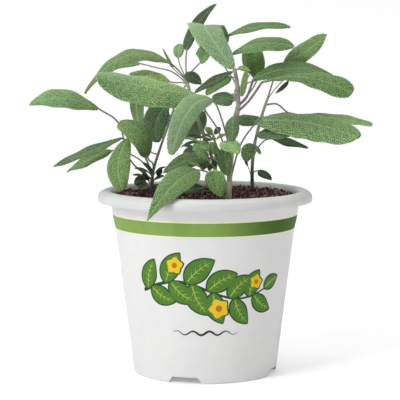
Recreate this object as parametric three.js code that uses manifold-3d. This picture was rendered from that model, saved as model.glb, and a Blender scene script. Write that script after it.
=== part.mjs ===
// Potted sage: a young kitchen-herb plant in a white round nursery pot.
// Millimetres, +Z up, origin at the centre of the pot's resting ring, the front towards -Y.
//
// The pot is one moulded shell, the compost is a plug that fills it, and each leafy stem is one
// solid: a woody stem, its leaf stalks and their blades, grown together. The stems stand in plain
// holes in the compost.

import * as THREE from 'three';
import { mergeVertices } from 'three/addons/utils/BufferGeometryUtils.js';
import Module from 'manifold-3d';

const wasm = await Module();
wasm.setup();

// ---------------------------------------------------------------- driving dimensions

const GAP = 0.3; // clearance between neighbours that touch on the real thing

const POT_HEIGHT = 98;
const LIP_RADIUS = 57.6;
const LIP_UNDERSIDE = 92.4;
const MOUTH_RADIUS = 50.4;
const COLLAR_TOP = { radius: 50.4, height: 92 };
const COLLAR_FOOT = { radius: 49.6, height: 84.8 };
const BODY_TOP = { radius: 47.9, height: 76.8 };
const BASE_RADIUS = 38.3;
const WALL = 1.3;
const FOOT_RING_WIDTH = 2.3;
const FLOOR_UNDERSIDE = 4.2;
const FLOOR_TOP = FLOOR_UNDERSIDE + WALL;
const POT_SIDES = 44;
const CUT_PAST = 1; // how far a cutter runs past the faces that it cuts

const FOOT_NOTCH = { count: 4, firstAngle: -16, height: 3.4, widthBelow: 19.8, widthAbove: 13.6 };
const FOOT_NOTCH_REACH = 12; // how far a notch's cutter reaches in, past the foot ring
const DRAIN_HOLE = { radius: 4, fromCentre: 27, sides: 12 };

const SOIL_LEVEL = 94.6;
const SOIL_SIDES = 28;
const SOIL_SIDE_GAP = GAP + 0.25;
const SOIL_MOUND_HEIGHT = 1.1;
const SOIL_CLOD_HEIGHT = 0.7;
const SOIL_RINGS = [0.94, 0.74, 0.52, 0.28]; // share of the soil's radius

const ROOT_DEPTH_LEVEL = 84;
const HOLE_GAP = 0.4;
const HOLE_TOP_LEVEL = 101;
const STEM_SIDES = 8;
const STEM_STEPS = 12;

const BLADE_THICKNESS = 0.7;
const STALK = { halfWidth: 0.55, thickness: 1 };
const BLADE_TIP_HALF_WIDTH = 0.35;
const BLADE_COLUMNS = 2; // one on each side of the midrib
const LEAF_SIZES = [
  { minimumLength: 30, stalkSteps: 4, bladeSteps: 8 },
  { minimumLength: 12, stalkSteps: 3, bladeSteps: 6 },
  { minimumLength: 0, stalkSteps: 2, bladeSteps: 4 },
];

// ---------------------------------------------------------------- the plant, by hand

const vector = ([x, y, z]) => new THREE.Vector3(x, y, z);

// A leaf: where its stalk leaves the stem (0 at the root, 1 at the top), then four points in
// millimetres: the blade's base, the left and right edge at its middle (as seen from its upper
// side with the tip up), and its tip. fold lifts the edges over the midrib, or drops them;
// baseTaper and tipTaper are small where an end is full and near 1 where it is pointed. by lists
// points that the stalk passes through, and twist turns the blade, in degrees, from base to tip.
function leaf(joint, base, left, right, tip, fold, baseTaper, tipTaper, { by = [], twist = 0 } = {}) {
  return {
    joint, fold, baseTaper, tipTaper, twist,
    base: vector(base),
    left: vector(left),
    right: vector(right),
    tip: vector(tip),
    by: by.map(vector),
  };
}

// A small young leaf: its base, tip and width, and the direction that its upper side looks in.
function leaflet(joint, base, tip, width, facing) {
  const from = vector(base);
  const to = vector(tip);
  const along = to.clone().sub(from);
  const rise = 0.12 * along.length();
  along.normalize();
  const up = vector(facing).projectOnPlane(along).normalize();
  const across = along.clone().cross(up);
  const middle = from.clone().lerp(to, 0.5).addScaledVector(up, rise);
  return {
    joint, fold: 0.1, baseTaper: 0.6, tipTaper: 0.6, twist: 0, base: from, tip: to, by: [],
    left: middle.clone().addScaledVector(across, -width / 2),
    right: middle.clone().addScaledVector(across, width / 2),
  };
}

const STEMS = {
  stem_left: {
    route: [[-29, 8, 84], [-29, 8, 93], [-28.5, 6, 101.5], [-27.5, 4, 109], [-23.5, 2, 121.5],
      [-19, 0, 134], [-16.5, -2, 141.5]],
    radii: [1.2, 0.55],
    leaves: [
      // the four long ones that reach out to the left
      leaf(0.35, [-56.5, -6, 141.5], [-73.5, -22, 142.8], [-75.5, -12, 152.2], [-91.2, -24, 144.4],
        -0.05, 0.75, 0.95, { by: [[-40.5, -1, 114.5], [-46, 1, 133]] }),
      leaf(0.42, [-45, 0, 125.5], [-61, -17, 117.5], [-64, -4, 120.5], [-80, -14, 111.5], 0.05, 0.8, 0.95),
      leaf(0.42, [-50, 4, 118.5], [-60.5, -2, 112], [-64, 10, 115.5], [-74.5, 4, 107], 0, 0.8, 0.95),
      leaf(0.38, [-41, -10, 126], [-39.5, -23, 112], [-51, -19, 113], [-43, -24, 99.5], -0.15, 0.6, 0.55),
      // the broad one that arches up and two behind it
      leaf(0.5, [-30.5, -8, 116], [-39.5, -18, 126], [-29, -9, 131], [-45.5, -6, 134.5], -0.15, 0.45, 0.4),
      leaf(0.98, [-20, 6, 143.5], [-20.5, 8, 133], [-33.5, 15, 133.5], [-25.5, 6, 123], 0.1, 0.6, 0.6),
      leaf(0.6, [-35, 17, 128], [-33.5, 20, 141], [-40.5, 24, 140.5], [-39, 32, 152.5],
        0.1, 0.7, 0.6, { by: [[-30, 12, 118]] }),
      // the tuft at its foot
      leaf(0.25, [-32, 12, 99.5], [-35, 8, 99], [-35.5, 12, 104.5], [-38.5, 12, 100.5], 0.1, 0.6, 0.6),
      leaflet(0.3, [-31, 2, 103.5], [-38.5, -4, 106], 2.5, [0, -0.8, 1]),
      leaflet(0.33, [-30, 4, 106.5], [-38, 4, 109], 2, [0, -0.8, 1]),
      leaflet(0.37, [-28.5, 2, 108], [-33.5, 0, 112.5], 2, [-0.3, -1, 0.6]),
      leaflet(0.37, [-26.5, 2, 107], [-21, -2, 110], 2.5, [0.2, -0.8, 1]),
      leaflet(0.28, [-27.5, 4, 102.5], [-22, 2, 105], 2.5, [0.2, -0.8, 1]),
      leaflet(0.25, [-31, 4, 100.5], [-35.5, -2, 102], 2, [0, -0.8, 1]),
      leaflet(0.22, [-30.5, 3, 102.5], [-33, -1, 108], 3, [-0.4, -1, 0.5]),
      leaflet(0.3, [-25.5, 3, 105], [-23.5, 0, 109.5], 3, [0.3, -1, 0.4]),
      leaflet(0.24, [-27, 1, 100.5], [-23, -4, 98], 3.2, [0.3, -0.9, 0.8]),
      leaflet(0.2, [-31.5, 2, 99.5], [-35.5, -4, 99], 3, [-0.3, -0.9, 0.8]),
    ],
  },
  stem_centre: {
    route: [[12, -26, 84], [12, -26, 92.5], [12.5, -24, 101], [13, -20, 110], [14.5, -14, 125.5],
      [17, -8, 139.5], [17.5, -6, 148], [16.5, -4, 157.5], [15.5, -4, 162.5]],
    radii: [1.8, 1.1],
    leaves: [
      // the large ones in front, to the left and at the top
      leaf(0.39, [-4, -12, 148.5], [-32, -26, 144.5], [-30, -8, 157.5], [-55.5, -32, 158.5],
        -0.3, 0.5, 0.42, { by: [[7.5, -13, 129], [0.5, -10, 140]] }),
      leaf(1, [15, -4, 162.5], [-9, 6, 185.5], [8.5, 11, 184.5], [12, 28, 176], 0.05, 0.55, 0.5),
      leaf(0.44, [4, -18, 146.5], [-4, -31, 138.5], [-13, -31, 145.5], [-17.5, -40, 119.5],
        -0.2, 0.55, 0.5, { by: [[10, -17, 132], [6.5, -17, 142.5]] }),
      // short ones along the stem
      leaf(0.97, [14.5, -3, 161], [5.7, -7.5, 154.7], [3.3, -0.5, 157.9], [-5.5, -4, 150], 0.1, 0.7, 0.7),
      leaf(0.81, [15, -7, 146], [10, -12, 143.5], [9, -1, 150.5], [4, -4, 148], -0.1, 0.5, 0.6),
      leaf(0.83, [19.5, -7, 148], [19, -9, 155.5], [22.5, -6, 155], [22, -6, 162.5], 0.2, 0.6, 0.7),
      leaf(0.97, [17.5, -1, 162], [20.5, 1, 164], [20, -3, 161.5], [24, -1, 161], 0.1, 0.6, 0.7),
      leaf(0.65, [15, -15, 138], [17.5, -23, 132.5], [10.5, -24, 131.5], [14, -27, 125.5], -0.1, 0.6, 0.65),
      leaf(0.41, [8, -24, 124.5], [15.5, -26, 126], [11, -32, 121], [17, -33, 119.5], 0, 0.6, 0.75),
      // the long ones that reach out to the right
      leaf(0.97, [11, 22, 179], [28, 26, 187], [29, 15, 183], [46.5, 20, 184.5], 0.05, 0.75, 0.75),
      leaf(0.96, [14.5, 8, 170], [30.5, 12, 179], [31.5, -2, 172], [47.5, 2, 174], -0.05, 0.7, 0.55),
      leaf(0.67, [28.5, 12, 156.5], [23, 20, 166], [32, 17, 165.5], [26, 28, 177],
        0.1, 0.6, 0.6, { by: [[24.5, 2, 150.5]] }),
      leaf(0.67, [25.5, -2, 156.5], [49, 12, 166], [46, -4, 158.5], [69, 6, 158],
        -0.05, 0.6, 0.6, { by: [[22, -5, 147.5]] }),
      leaf(0.63, [30, -8, 155.5], [54, -12, 161], [51, -24, 155], [76, -26, 150.5],
        -0.05, 0.9, 0.35, { by: [[23, -8, 145.5]], twist: -60 }),
      leaf(0.28, [27.5, -6, 135], [56, -8, 138.5], [52, -24, 127], [78, -36, 128],
        -0.2, 0.5, 0.4, { by: [[18.5, -14, 122.5]] }),
      // low down: at the foot, and over the rim
      leaf(0.17, [8.5, -30.5, 97.4], [0.4, -32, 105], [10.6, -32.5, 104.5], [4.5, -34, 111], 0.1, 0.6, 0.4),
      leaf(0.27, [11.5, -25, 107.5], [6.5, -27, 115.5], [13.5, -29, 115.5], [10, -28, 123], 0.5, 0.6, 0.6),
      leaf(0.25, [-4, -30, 111], [-12.5, -53, 100], [-21.5, -47, 108.5], [-29, -63, 88.5], -0.1, 0.5, 1.1),
      leaf(0.34, [2, -19, 116.5], [-9, -27, 112], [-11, -17, 118.5], [-22, -24, 109], 0.05, 0.6, 0.75),
      leaf(0.21, [-1, -17, 100.5], [-5.5, -22, 98.5], [-7.5, -16, 102.5], [-12, -20, 98.5], 0.1, 0.6, 0.6),
      // the thin sprigs that rise from its foot
      leaflet(0.2, [0.5, -27, 117], [-5, -30, 122], 5, [-0.2, -1, 0.6]),
      leaflet(0.21, [4.5, -27, 119], [3, -31, 125.5], 4.5, [0, -1, 0.4]),
      leaflet(0.19, [-2.5, -26, 112], [-8.5, -30, 115], 4.5, [-0.2, -0.8, 1]),
    ],
  },
  stem_right: {
    route: [[25.5, 8, 84], [25.5, 8, 91.5], [25.5, 8, 100], [25.5, 6, 110], [26.5, 5, 121], [29.5, 3, 134],
      [32, 2, 142.5], [33.5, 3, 146.5]],
    radii: [1.25, 0.75],
    leaves: [
      leaf(1, [42.5, 18, 164.5], [51.5, 22, 175], [57.5, 12, 168.5], [65, 10, 180.5], 0.05, 0.7, 0.8),
      leaf(0.98, [44.5, 2, 156], [42.5, 0, 152], [41, 2, 153.5], [37.5, -1, 149.5], 0.1, 0.7, 0.8),
      leaf(0.87, [50.5, 16, 136], [72.5, 22, 137.2], [70.5, 11, 133.2], [91.2, 16, 131.8], 0, 0.6, 0.55),
      leaf(0.76, [30.5, 8, 134], [23.5, 8, 131.5], [24, 16, 137], [17.5, 14, 134.5], 0, 0.6, 0.6),
      leaf(0.71, [28, -6, 128], [39, -9, 133], [38, -18, 126.5], [49.5, -15, 131], 0.1, 0.6, 0.7),
      leaf(0.49, [35.5, 6, 125], [46, 10, 124.5], [44, 1, 121.5], [55.5, 4, 120], 0.05, 0.7, 0.8),
      leaf(0.57, [26, 1, 121.5], [26, -3, 117], [19.5, -6, 119], [23, -6, 113.5], 0.05, 0.5, 0.6),
      leaf(0.57, [27, 1, 121.5], [29.5, 0, 119.5], [27, -2, 119], [29.5, -3, 117], 0.05, 0.6, 0.8),
      leaf(0.36, [28.5, 5, 107.5], [33, 6, 107], [30.5, 1, 104.5], [35.5, 0, 103], 0.05, 0.6, 0.75),
      leaflet(0.3, [23, 8, 110], [21.5, 6, 114.5], 1.6, [-0.4, -1, 0.4]),
    ],
  },
  stem_rear: {
    route: [[7, 16, 84], [7, 16, 91.5], [6, 15.5, 104], [2.5, 14, 118], [-2.5, 12, 131], [-6, 10, 142],
      [-8, 10, 149.5], [-9.5, 12, 154.5]],
    radii: [1.1, 0.8],
    leaves: [
      // the crown at the upper left
      leaf(1, [-18, 14, 164.5], [-39.5, 2, 165.5], [-44.5, 14, 171.5], [-65, 8, 149], -0.1, 0.75, 0.95),
      leaf(0.98, [-36, 34, 164.5], [-43.5, 24, 163], [-46, 34, 166], [-55, 36, 159.5], 0, 0.9, 0.8),
      leaf(0.99, [-17.5, 18, 162.5], [-20.5, 17, 167], [-19.5, 20, 168], [-23, 22, 173], 0.3, 0.7, 0.8),
      leaf(0.97, [-19, 14, 155], [-29.5, 7, 157], [-29.5, 18, 161], [-41, 18, 159.5], -0.1, 0.7, 0.7),
      leaf(1, [-10, 19, 172], [-8, 31, 186], [-2, 25, 185], [6, 26, 197], 0.1, 0.6, 0.75),
      leaf(1, [-14.5, 10, 168], [-17, 10, 172], [-11.5, 9, 172], [-13.5, 12, 175.5], 0.05, 0.5, 0.45),
      leaf(1, [-2.5, 5, 165.5], [-4.5, 8, 172], [3, 2, 172], [0.5, 14, 178.5], 0.5, 0.6, 0.7),
      leaf(1, [-2, 6, 154.5], [-7, 2, 155], [-6, 9, 160.5], [-11, 6, 159], 0.1, 0.6, 0.6),
      // towards the back
      leaf(0.91, [-15, 32, 149], [-32, 38, 145], [-30, 54, 152.5], [-50.8, 62.5, 148.6], -0.1, 0.6, 0.55),
      leaf(0.66, [-19.5, 30, 132.5], [-30.5, 38, 126.5], [-29, 52, 134.5], [-42, 62, 124.5], -0.1, 0.6, 0.55),
      leaf(0.79, [0, 34, 137.5], [-14, 48, 131.5], [-1.5, 42, 127.5], [-12, 62.5, 123.5], -0.1, 0.6, 0.55),
      leaf(0.49, [0.5, 32, 116.5], [-10.5, 49, 114], [0.5, 41, 110.5], [-8.5, 62.5, 107.5], -0.1, 0.6, 0.6),
      leaflet(0.61, [-1, 4, 125.5], [-11, 2, 125], 5, [0, -0.5, 1]),
      leaflet(0.57, [-3, 8, 123], [-13, 6, 120], 2.5, [0, -0.6, 1]),
      leaflet(0.53, [-0.5, 10, 118.5], [-8, 8, 116.5], 2.5, [0, -0.6, 1]),
    ],
  },
  stem_rear_right: {
    route: [[13.5, 22, 84], [13.5, 22, 91.5], [13.5, 22, 106.5], [15.5, 24, 122.5], [18, 26, 138],
      [18.5, 28, 149]],
    radii: [1.2, 0.8],
    leaves: [
      leaf(0.98, [14, 12, 157.5], [8.5, 6, 152], [6, 14, 156], [0.5, 6, 148.5], 0.05, 0.6, 0.7),
      leaf(1, [33, 39, 156.5], [47.5, 55, 161.7], [42.7, 43, 157.2], [57.2, 63.2, 159.3], -0.1, 0.6, 0.55),
      leaf(0.76, [32, 38, 131.5], [50.6, 53, 134.9], [46.3, 41, 128.2], [66.3, 62, 130], -0.1, 0.6, 0.55),
      leaf(1, [9.5, 32, 165], [-3, 42, 175], [9.4, 49, 177], [-0.5, 62, 176], -0.05, 0.6, 0.55),
      leaf(1, [25, 38, 159], [21, 49, 168], [29.5, 47, 168.5], [26, 62, 175], 0.05, 0.6, 0.6),
      leaf(0.88, [17, 36, 144], [7.5, 46, 143], [17.3, 50, 147], [10, 63, 144.5], -0.05, 0.6, 0.55),
    ],
  },
  stem_middle: {
    route: [[5, -8, 84], [5, -8, 91.5], [5, -9, 104], [6, -9, 114.5], [5.5, -8, 122.5], [4, -7, 128]],
    radii: [1, 0.7],
    leaves: [
      leaflet(1, [4, -7, 128], [0, -10, 131.5], 3.5, [-0.3, -1, 0.6]),
      leaflet(1, [5, -6, 128], [8, -4, 131.5], 3, [0.3, -1, 0.6]),
      leaflet(0.96, [6, -8, 125.5], [11, -10, 128], 3, [0.2, -0.8, 1]),
      leaflet(0.92, [3.5, -8, 125], [-1, -12, 125], 3.5, [-0.2, -0.8, 1]),
      leaflet(0.8, [6.5, -10, 121.5], [1.5, -16, 119], 3.5, [0, -1, 0.7]),
      leaflet(0.76, [5, -9, 119.5], [-3.5, -8, 120], 4.5, [0, -0.7, 1]),
      leaflet(0.68, [6.5, -10, 115.5], [3.5, -14, 110.5], 3, [0, -1, 0.5]),
      leaflet(0.62, [2, -12, 122.5], [-6.5, -16.5, 120.5], 7, [-0.2, -1, 0.5]),
      leaflet(0.5, [1, -13, 116.5], [-1.5, -18, 110], 6.2, [-0.2, -1, 0.4]),
      leaflet(0.9, [4, -9, 125.5], [-0.5, -13, 128], 3.5, [-0.3, -0.8, 1]),
      leaflet(0.6, [-3.5, -11, 119.5], [-12, -15, 122.5], 3, [-0.2, -0.8, 1]),
      leaflet(0.8, [-3, -13, 124], [-10.5, -17, 126.5], 3, [-0.2, -0.8, 1]),
      leaflet(0.72, [5, -13, 122], [7.5, -17, 115.5], 3.6, [0.1, -1, 0.4]),
      leaflet(0.55, [3.5, -12, 113], [2, -14, 109], 2.6, [-0.1, -1, 0.4]),
    ],
  },
};

// ---------------------------------------------------------------- finishes

const finish = (color, roughness) => new THREE.MeshStandardMaterial({ color, roughness, metalness: 0 });
const POT_PLASTIC = finish('#e4e6e3', 0.45);
const COMPOST = finish('#3a2722', 1);
const SAGE_GREEN = finish('#7d9a72', 0.85);

// ---------------------------------------------------------------- closed solids

const bufferOf = (positions, indices) => {
  const geometry = new THREE.BufferGeometry();
  geometry.setAttribute('position', new THREE.Float32BufferAttribute(positions, 3));
  geometry.setIndex(indices);
  return geometry;
};

// A closed three.js geometry as a solid, with its shared vertices merged and the slivers that a
// lathe leaves at its poles dropped.
function solidOf(source) {
  const geometry = source.clone();
  geometry.deleteAttribute('normal');
  geometry.deleteAttribute('uv');
  const merged = mergeVertices(geometry, 1e-4);
  const index = merged.index.array;
  const corners = [];
  for (let i = 0; i < index.length; i += 3) {
    const [a, b, c] = [index[i], index[i + 1], index[i + 2]];
    if (a !== b && b !== c && c !== a) corners.push(a, b, c);
  }
  const mesh = new wasm.Mesh({
    numProp: 3,
    vertProperties: new Float32Array(merged.attributes.position.array),
    triVerts: new Uint32Array(corners),
  });
  return new wasm.Manifold(mesh);
}

function geometryOf(solid) {
  const { vertProperties, triVerts } = solid.getMesh();
  return bufferOf(Array.from(vertProperties), Array.from(triVerts));
}

const joined = (solids) => solids.reduce((whole, next) => whole.add(next));

// A solid skin over rings of points, all with as many points, closed by a fan at each end. The
// rings turn anticlockwise as seen from the last one.
function lofted(rings) {
  const count = rings[0].length;
  const positions = rings.flat().flatMap((point) => point.toArray());
  const indices = [];
  for (let ring = 0; ring + 1 < rings.length; ring += 1) {
    for (let side = 0; side < count; side += 1) {
      const a = ring * count + side;
      const b = ring * count + ((side + 1) % count);
      indices.push(a, b, b + count, a, b + count, a + count);
    }
  }
  const last = (rings.length - 1) * count;
  for (let side = 1; side + 1 < count; side += 1) {
    indices.push(0, side + 1, side, last, last + side, last + side + 1);
  }
  return bufferOf(positions, indices);
}

// Rings of a round section along a curve, its radius changing evenly from start to end.
function tubeRings(curve, steps, sides, startRadius, endRadius) {
  const rings = [];
  const side = new THREE.Vector3(0.83, 0.55, 0.1);
  for (let step = 0; step <= steps; step += 1) {
    const share = step / steps;
    const centre = curve.getPoint(share);
    const along = curve.getTangent(share);
    side.projectOnPlane(along).normalize();
    const other = along.clone().cross(side);
    const radius = THREE.MathUtils.lerp(startRadius, endRadius, share);
    const ring = [];
    for (let corner = 0; corner < sides; corner += 1) {
      const angle = (2 * Math.PI * corner) / sides;
      const point = centre.clone().addScaledVector(side, radius * Math.cos(angle));
      ring.push(point.addScaledVector(other, radius * Math.sin(angle)));
    }
    rings.push(ring);
  }
  return rings;
}

// ---------------------------------------------------------------- leaves

// A blade's midrib and its frame: left and right edge fix its width, its tilt and how far the
// midrib arches, so that its edges pass through both points at the middle.
function bladeFrame({ base, left, right, tip, fold }) {
  const along = tip.clone().sub(base).normalize();
  const across = right.clone().sub(left);
  const width = across.length();
  across.projectOnPlane(along).normalize();
  const up = across.clone().cross(along);
  const middle = left.clone().lerp(right, 0.5).addScaledVector(up, (-fold * width) / 2);
  const control = middle.multiplyScalar(2).addScaledVector(base.clone().add(tip), -0.5);
  return { midrib: new THREE.QuadraticBezierCurve3(base, control, tip), across, width };
}

// Half the blade's width at a share of its length.
function halfWidth({ baseTaper, tipTaper }, width, share) {
  const widest = baseTaper / (baseTaper + tipTaper);
  const swell = (share / widest) ** baseTaper * ((1 - share) / (1 - widest)) ** tipTaper;
  const least = share < 0.5 ? STALK.halfWidth : BLADE_TIP_HALF_WIDTH;
  return Math.max((swell * width) / 2, least);
}

function bladeStations(shape, steps) {
  const { midrib, across, width } = bladeFrame(shape);
  return Array.from({ length: steps + 1 }, (_, step) => {
    const even = step / steps;
    const share = (even + (1 - Math.cos(Math.PI * even)) / 2) / 2; // closer together at both ends
    const along = midrib.getTangent(share);
    const turn = THREE.MathUtils.degToRad(shape.twist) * (share - 0.5);
    return {
      centre: midrib.getPoint(share),
      along,
      side: across.clone().projectOnPlane(along).normalize().applyAxisAngle(along, -turn),
      reach: halfWidth(shape, width, share),
      thickness: step === 0 ? STALK.thickness : BLADE_THICKNESS,
    };
  });
}

// The stalk leaves the stem along it and bends over to the blade.
function stalkCurve(shape, stem) {
  const { midrib } = bladeFrame(shape);
  const start = stem.getPoint(shape.joint);
  const between = [...shape.by];
  if (between.length === 0) {
    const reach = start.distanceTo(shape.base);
    const towards = shape.base.clone().sub(start).normalize();
    const leaving = stem.getTangent(shape.joint).add(towards).normalize();
    const arriving = midrib.getTangent(0).addScaledVector(towards, 0.6).normalize();
    const bend = new THREE.CubicBezierCurve3(
      start,
      start.clone().addScaledVector(leaving, 0.4 * reach),
      shape.base.clone().addScaledVector(arriving, -0.35 * reach),
      shape.base,
    );
    between.push(bend.getPoint(0.35), bend.getPoint(0.7));
  }
  return new THREE.CatmullRomCurve3([start, ...between, shape.base], false, 'catmullrom');
}

// The stalk's frame is carried back from the blade's, so that the leaf is one smooth strip.
function stalkStations(shape, stem, steps, firstOfBlade) {
  const curve = stalkCurve(shape, stem);
  const stations = [];
  const side = firstOfBlade.side.clone();
  for (let step = steps - 1; step >= 0; step -= 1) {
    const along = curve.getTangent(step / steps);
    side.projectOnPlane(along).normalize();
    stations.unshift({
      centre: curve.getPoint(step / steps),
      along,
      side: side.clone(),
      reach: STALK.halfWidth,
      thickness: STALK.thickness,
    });
  }
  return stations;
}

// A leaf is one closed strip from inside the stem to the tip of its blade.
function leafGeometry(shape, stem) {
  const length = bladeFrame(shape).midrib.getLength();
  const { stalkSteps, bladeSteps } = LEAF_SIZES.find((size) => length >= size.minimumLength);
  const blade = bladeStations(shape, bladeSteps);
  const stations = [...stalkStations(shape, stem, stalkSteps, blade[0]), ...blade];
  const faces = { upper: [], lower: [] };
  for (const { centre, along, side, reach, thickness } of stations) {
    const up = side.clone().cross(along);
    const fold = reach > STALK.halfWidth ? shape.fold : 0;
    for (let column = 0; column <= BLADE_COLUMNS; column += 1) {
      const place = (2 * column) / BLADE_COLUMNS - 1;
      const lift = reach * fold * Math.abs(place);
      const point = centre.clone().addScaledVector(side, reach * place).addScaledVector(up, lift);
      faces.upper.push(point.clone().addScaledVector(up, thickness / 2));
      faces.lower.push(point.clone().addScaledVector(up, -thickness / 2));
    }
  }
  return closedStrip([...faces.upper, ...faces.lower], stations.length - 1, BLADE_COLUMNS);
}

// Both faces are split into triangles alike, so that a waved blade never crosses itself.
function closedStrip(points, steps, columns) {
  const row = columns + 1;
  const below = points.length / 2;
  const indices = [];
  for (let step = 0; step < steps; step += 1) {
    for (let column = 0; column < columns; column += 1) {
      const a = step * row + column;
      const [b, c, d] = [a + 1, a + row + 1, a + row];
      indices.push(a, b, c, a, c, d);
      indices.push(below + a, below + c, below + b, below + a, below + d, below + c);
    }
    const [p, q] = [step * row, (step + 1) * row];
    indices.push(p, q, below + q, p, below + q, below + p);
    const [r, s] = [p + columns, q + columns];
    indices.push(r, below + s, s, r, below + r, below + s);
  }
  for (let column = 0; column < columns; column += 1) {
    const [a, b] = [column, column + 1];
    indices.push(a, below + a, below + b, a, below + b, b);
    const [c, d] = [steps * row + column, steps * row + column + 1];
    indices.push(c, below + d, below + c, c, d, below + d);
  }
  return bufferOf(points.flatMap((point) => point.toArray()), indices);
}

// ---------------------------------------------------------------- stems

const stemCurve = ({ route }) => new THREE.CatmullRomCurve3(route.map(vector), false, 'catmullrom');

function stemSolid(stem) {
  const curve = stemCurve(stem);
  const wood = solidOf(lofted(tubeRings(curve, STEM_STEPS, STEM_SIDES, ...stem.radii)));
  return joined([wood, ...stem.leaves.map((shape) => solidOf(leafGeometry(shape, curve)))]);
}

// The plain hole that a stem stands in: its own rings below ground, a little wider and deeper.
function stemHole(stem) {
  const [rootRadius, topRadius] = stem.radii.map((radius) => radius + HOLE_GAP);
  const rings = tubeRings(stemCurve(stem), STEM_STEPS, STEM_SIDES, rootRadius, topRadius);
  const sunk = rings.filter((ring) => ring[0].z < HOLE_TOP_LEVEL);
  sunk.push(rings[sunk.length]);
  sunk[0].forEach((point) => point.setZ(ROOT_DEPTH_LEVEL - HOLE_GAP));
  return solidOf(lofted(sunk));
}

// ---------------------------------------------------------------- pot

const profilePoints = (pairs) => pairs.map(([across, height]) => new THREE.Vector2(across, height));

// The inside of the pot's wall at a height: the outside's taper, less the wall.
function insideRadius(height) {
  const outside = [[BASE_RADIUS, 0], [BODY_TOP.radius, BODY_TOP.height],
    [COLLAR_FOOT.radius, COLLAR_FOOT.height], [MOUTH_RADIUS + WALL, POT_HEIGHT]];
  const above = Math.max(1, outside.findIndex(([, level]) => level >= height));
  const [[r0, z0], [r1, z1]] = [outside[above - 1], outside[above]];
  return THREE.MathUtils.mapLinear(height, z0, z1, r0, r1) - WALL;
}

function potSolid() {
  const profile = profilePoints([
    [0, FLOOR_UNDERSIDE],
    [BASE_RADIUS - FOOT_RING_WIDTH, FLOOR_UNDERSIDE],
    [BASE_RADIUS - FOOT_RING_WIDTH, 0],
    [BASE_RADIUS, 0],
    [BODY_TOP.radius, BODY_TOP.height],
    [COLLAR_FOOT.radius, COLLAR_FOOT.height],
    [COLLAR_TOP.radius, COLLAR_TOP.height],
    [LIP_RADIUS - 1, LIP_UNDERSIDE],
    [LIP_RADIUS, LIP_UNDERSIDE + 1.6],
    [LIP_RADIUS - 0.6, POT_HEIGHT - 2],
    [LIP_RADIUS - 3, POT_HEIGHT - 0.3],
    [MOUTH_RADIUS + 2, POT_HEIGHT],
    [MOUTH_RADIUS + 0.5, POT_HEIGHT - 0.4],
    [insideRadius(POT_HEIGHT - 2), POT_HEIGHT - 2],
    [insideRadius(COLLAR_FOOT.height), COLLAR_FOOT.height],
    [insideRadius(BODY_TOP.height), BODY_TOP.height],
    [insideRadius(FLOOR_TOP + 1.5), FLOOR_TOP + 1.5],
    [insideRadius(FLOOR_TOP) - 1.5, FLOOR_TOP],
    [0, FLOOR_TOP],
  ]);
  const shell = new THREE.LatheGeometry(profile, POT_SIDES).rotateX(Math.PI / 2);
  return joinedCut(solidOf(shell), [...footNotches(), ...drainHoles()]);
}

const joinedCut = (body, cutters) => cutters.reduce((rest, cutter) => rest.subtract(cutter), body);

// Angles are counted from the front (-Y) towards +X.
const notchAngles = () => Array.from({ length: FOOT_NOTCH.count }, (_, place) => (
  THREE.MathUtils.degToRad(FOOT_NOTCH.firstAngle + (360 * place) / FOOT_NOTCH.count)
));

function footNotches() {
  const { height, widthBelow, widthAbove } = FOOT_NOTCH;
  const slope = (widthBelow - widthAbove) / 2 / height;
  const below = widthBelow / 2 + slope * CUT_PAST;
  const outline = new THREE.Shape(profilePoints([[-below, -CUT_PAST], [below, -CUT_PAST],
    [widthAbove / 2, height], [-widthAbove / 2, height]]));
  return notchAngles().map((angle) => solidOf(
    new THREE.ExtrudeGeometry(outline, { depth: FOOT_NOTCH_REACH, bevelEnabled: false })
      .rotateX(Math.PI / 2)
      .translate(0, FOOT_NOTCH_REACH - CUT_PAST - BASE_RADIUS, 0)
      .rotateZ(angle),
  ));
}

function drainHoles() {
  const { radius, fromCentre, sides } = DRAIN_HOLE;
  const hole = () => new THREE.CylinderGeometry(radius, radius, WALL + 2 * CUT_PAST, sides)
    .rotateX(Math.PI / 2)
    .translate(0, 0, FLOOR_UNDERSIDE + WALL / 2);
  const round = notchAngles().map((angle) => hole().translate(0, -fromCentre, 0).rotateZ(angle));
  return [hole(), ...round].map(solidOf);
}

// ---------------------------------------------------------------- compost

// The crumbled surface: a low mound with clods, by a sum of waves that never lines up.
function soilHeight(x, y, share) {
  const clods = Math.sin(0.41 * x + 1.3) * Math.cos(0.37 * y - 0.6) + 0.6 * Math.sin(0.83 * y + 0.29 * x);
  const mound = SOIL_MOUND_HEIGHT * (1 - share * share);
  return SOIL_LEVEL + mound + SOIL_CLOD_HEIGHT * clods * (1 - share ** 6);
}

function soilRing(radius, height) {
  return Array.from({ length: SOIL_SIDES }, (_, side) => {
    const angle = (2 * Math.PI * side) / SOIL_SIDES;
    const [x, y] = [radius * Math.cos(angle), radius * Math.sin(angle)];
    return new THREE.Vector3(x, y, height(x, y));
  });
}

function soilSolid() {
  const level = (height) => () => height;
  const wall = (height) => insideRadius(height) - SOIL_SIDE_GAP;
  const bottom = FLOOR_TOP + 2;
  const plug = [bottom, BODY_TOP.height, COLLAR_FOOT.height, SOIL_LEVEL].map((height) => (
    soilRing(wall(height), level(height))
  ));
  const foot = soilRing(wall(FLOOR_TOP) - 2, level(FLOOR_TOP + GAP));
  const surface = SOIL_RINGS.map((share) => (
    soilRing(share * wall(SOIL_LEVEL), (x, y) => soilHeight(x, y, share))
  ));
  const body = solidOf(lofted([foot, ...plug, ...surface]));
  return joinedCut(body, Object.values(STEMS).map(stemHole));
}

// ---------------------------------------------------------------- the assembly

const part = new THREE.Group();

function place(name, solid, material) {
  const mesh = new THREE.Mesh(geometryOf(solid), material);
  mesh.name = name;
  part.add(mesh);
}

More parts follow.
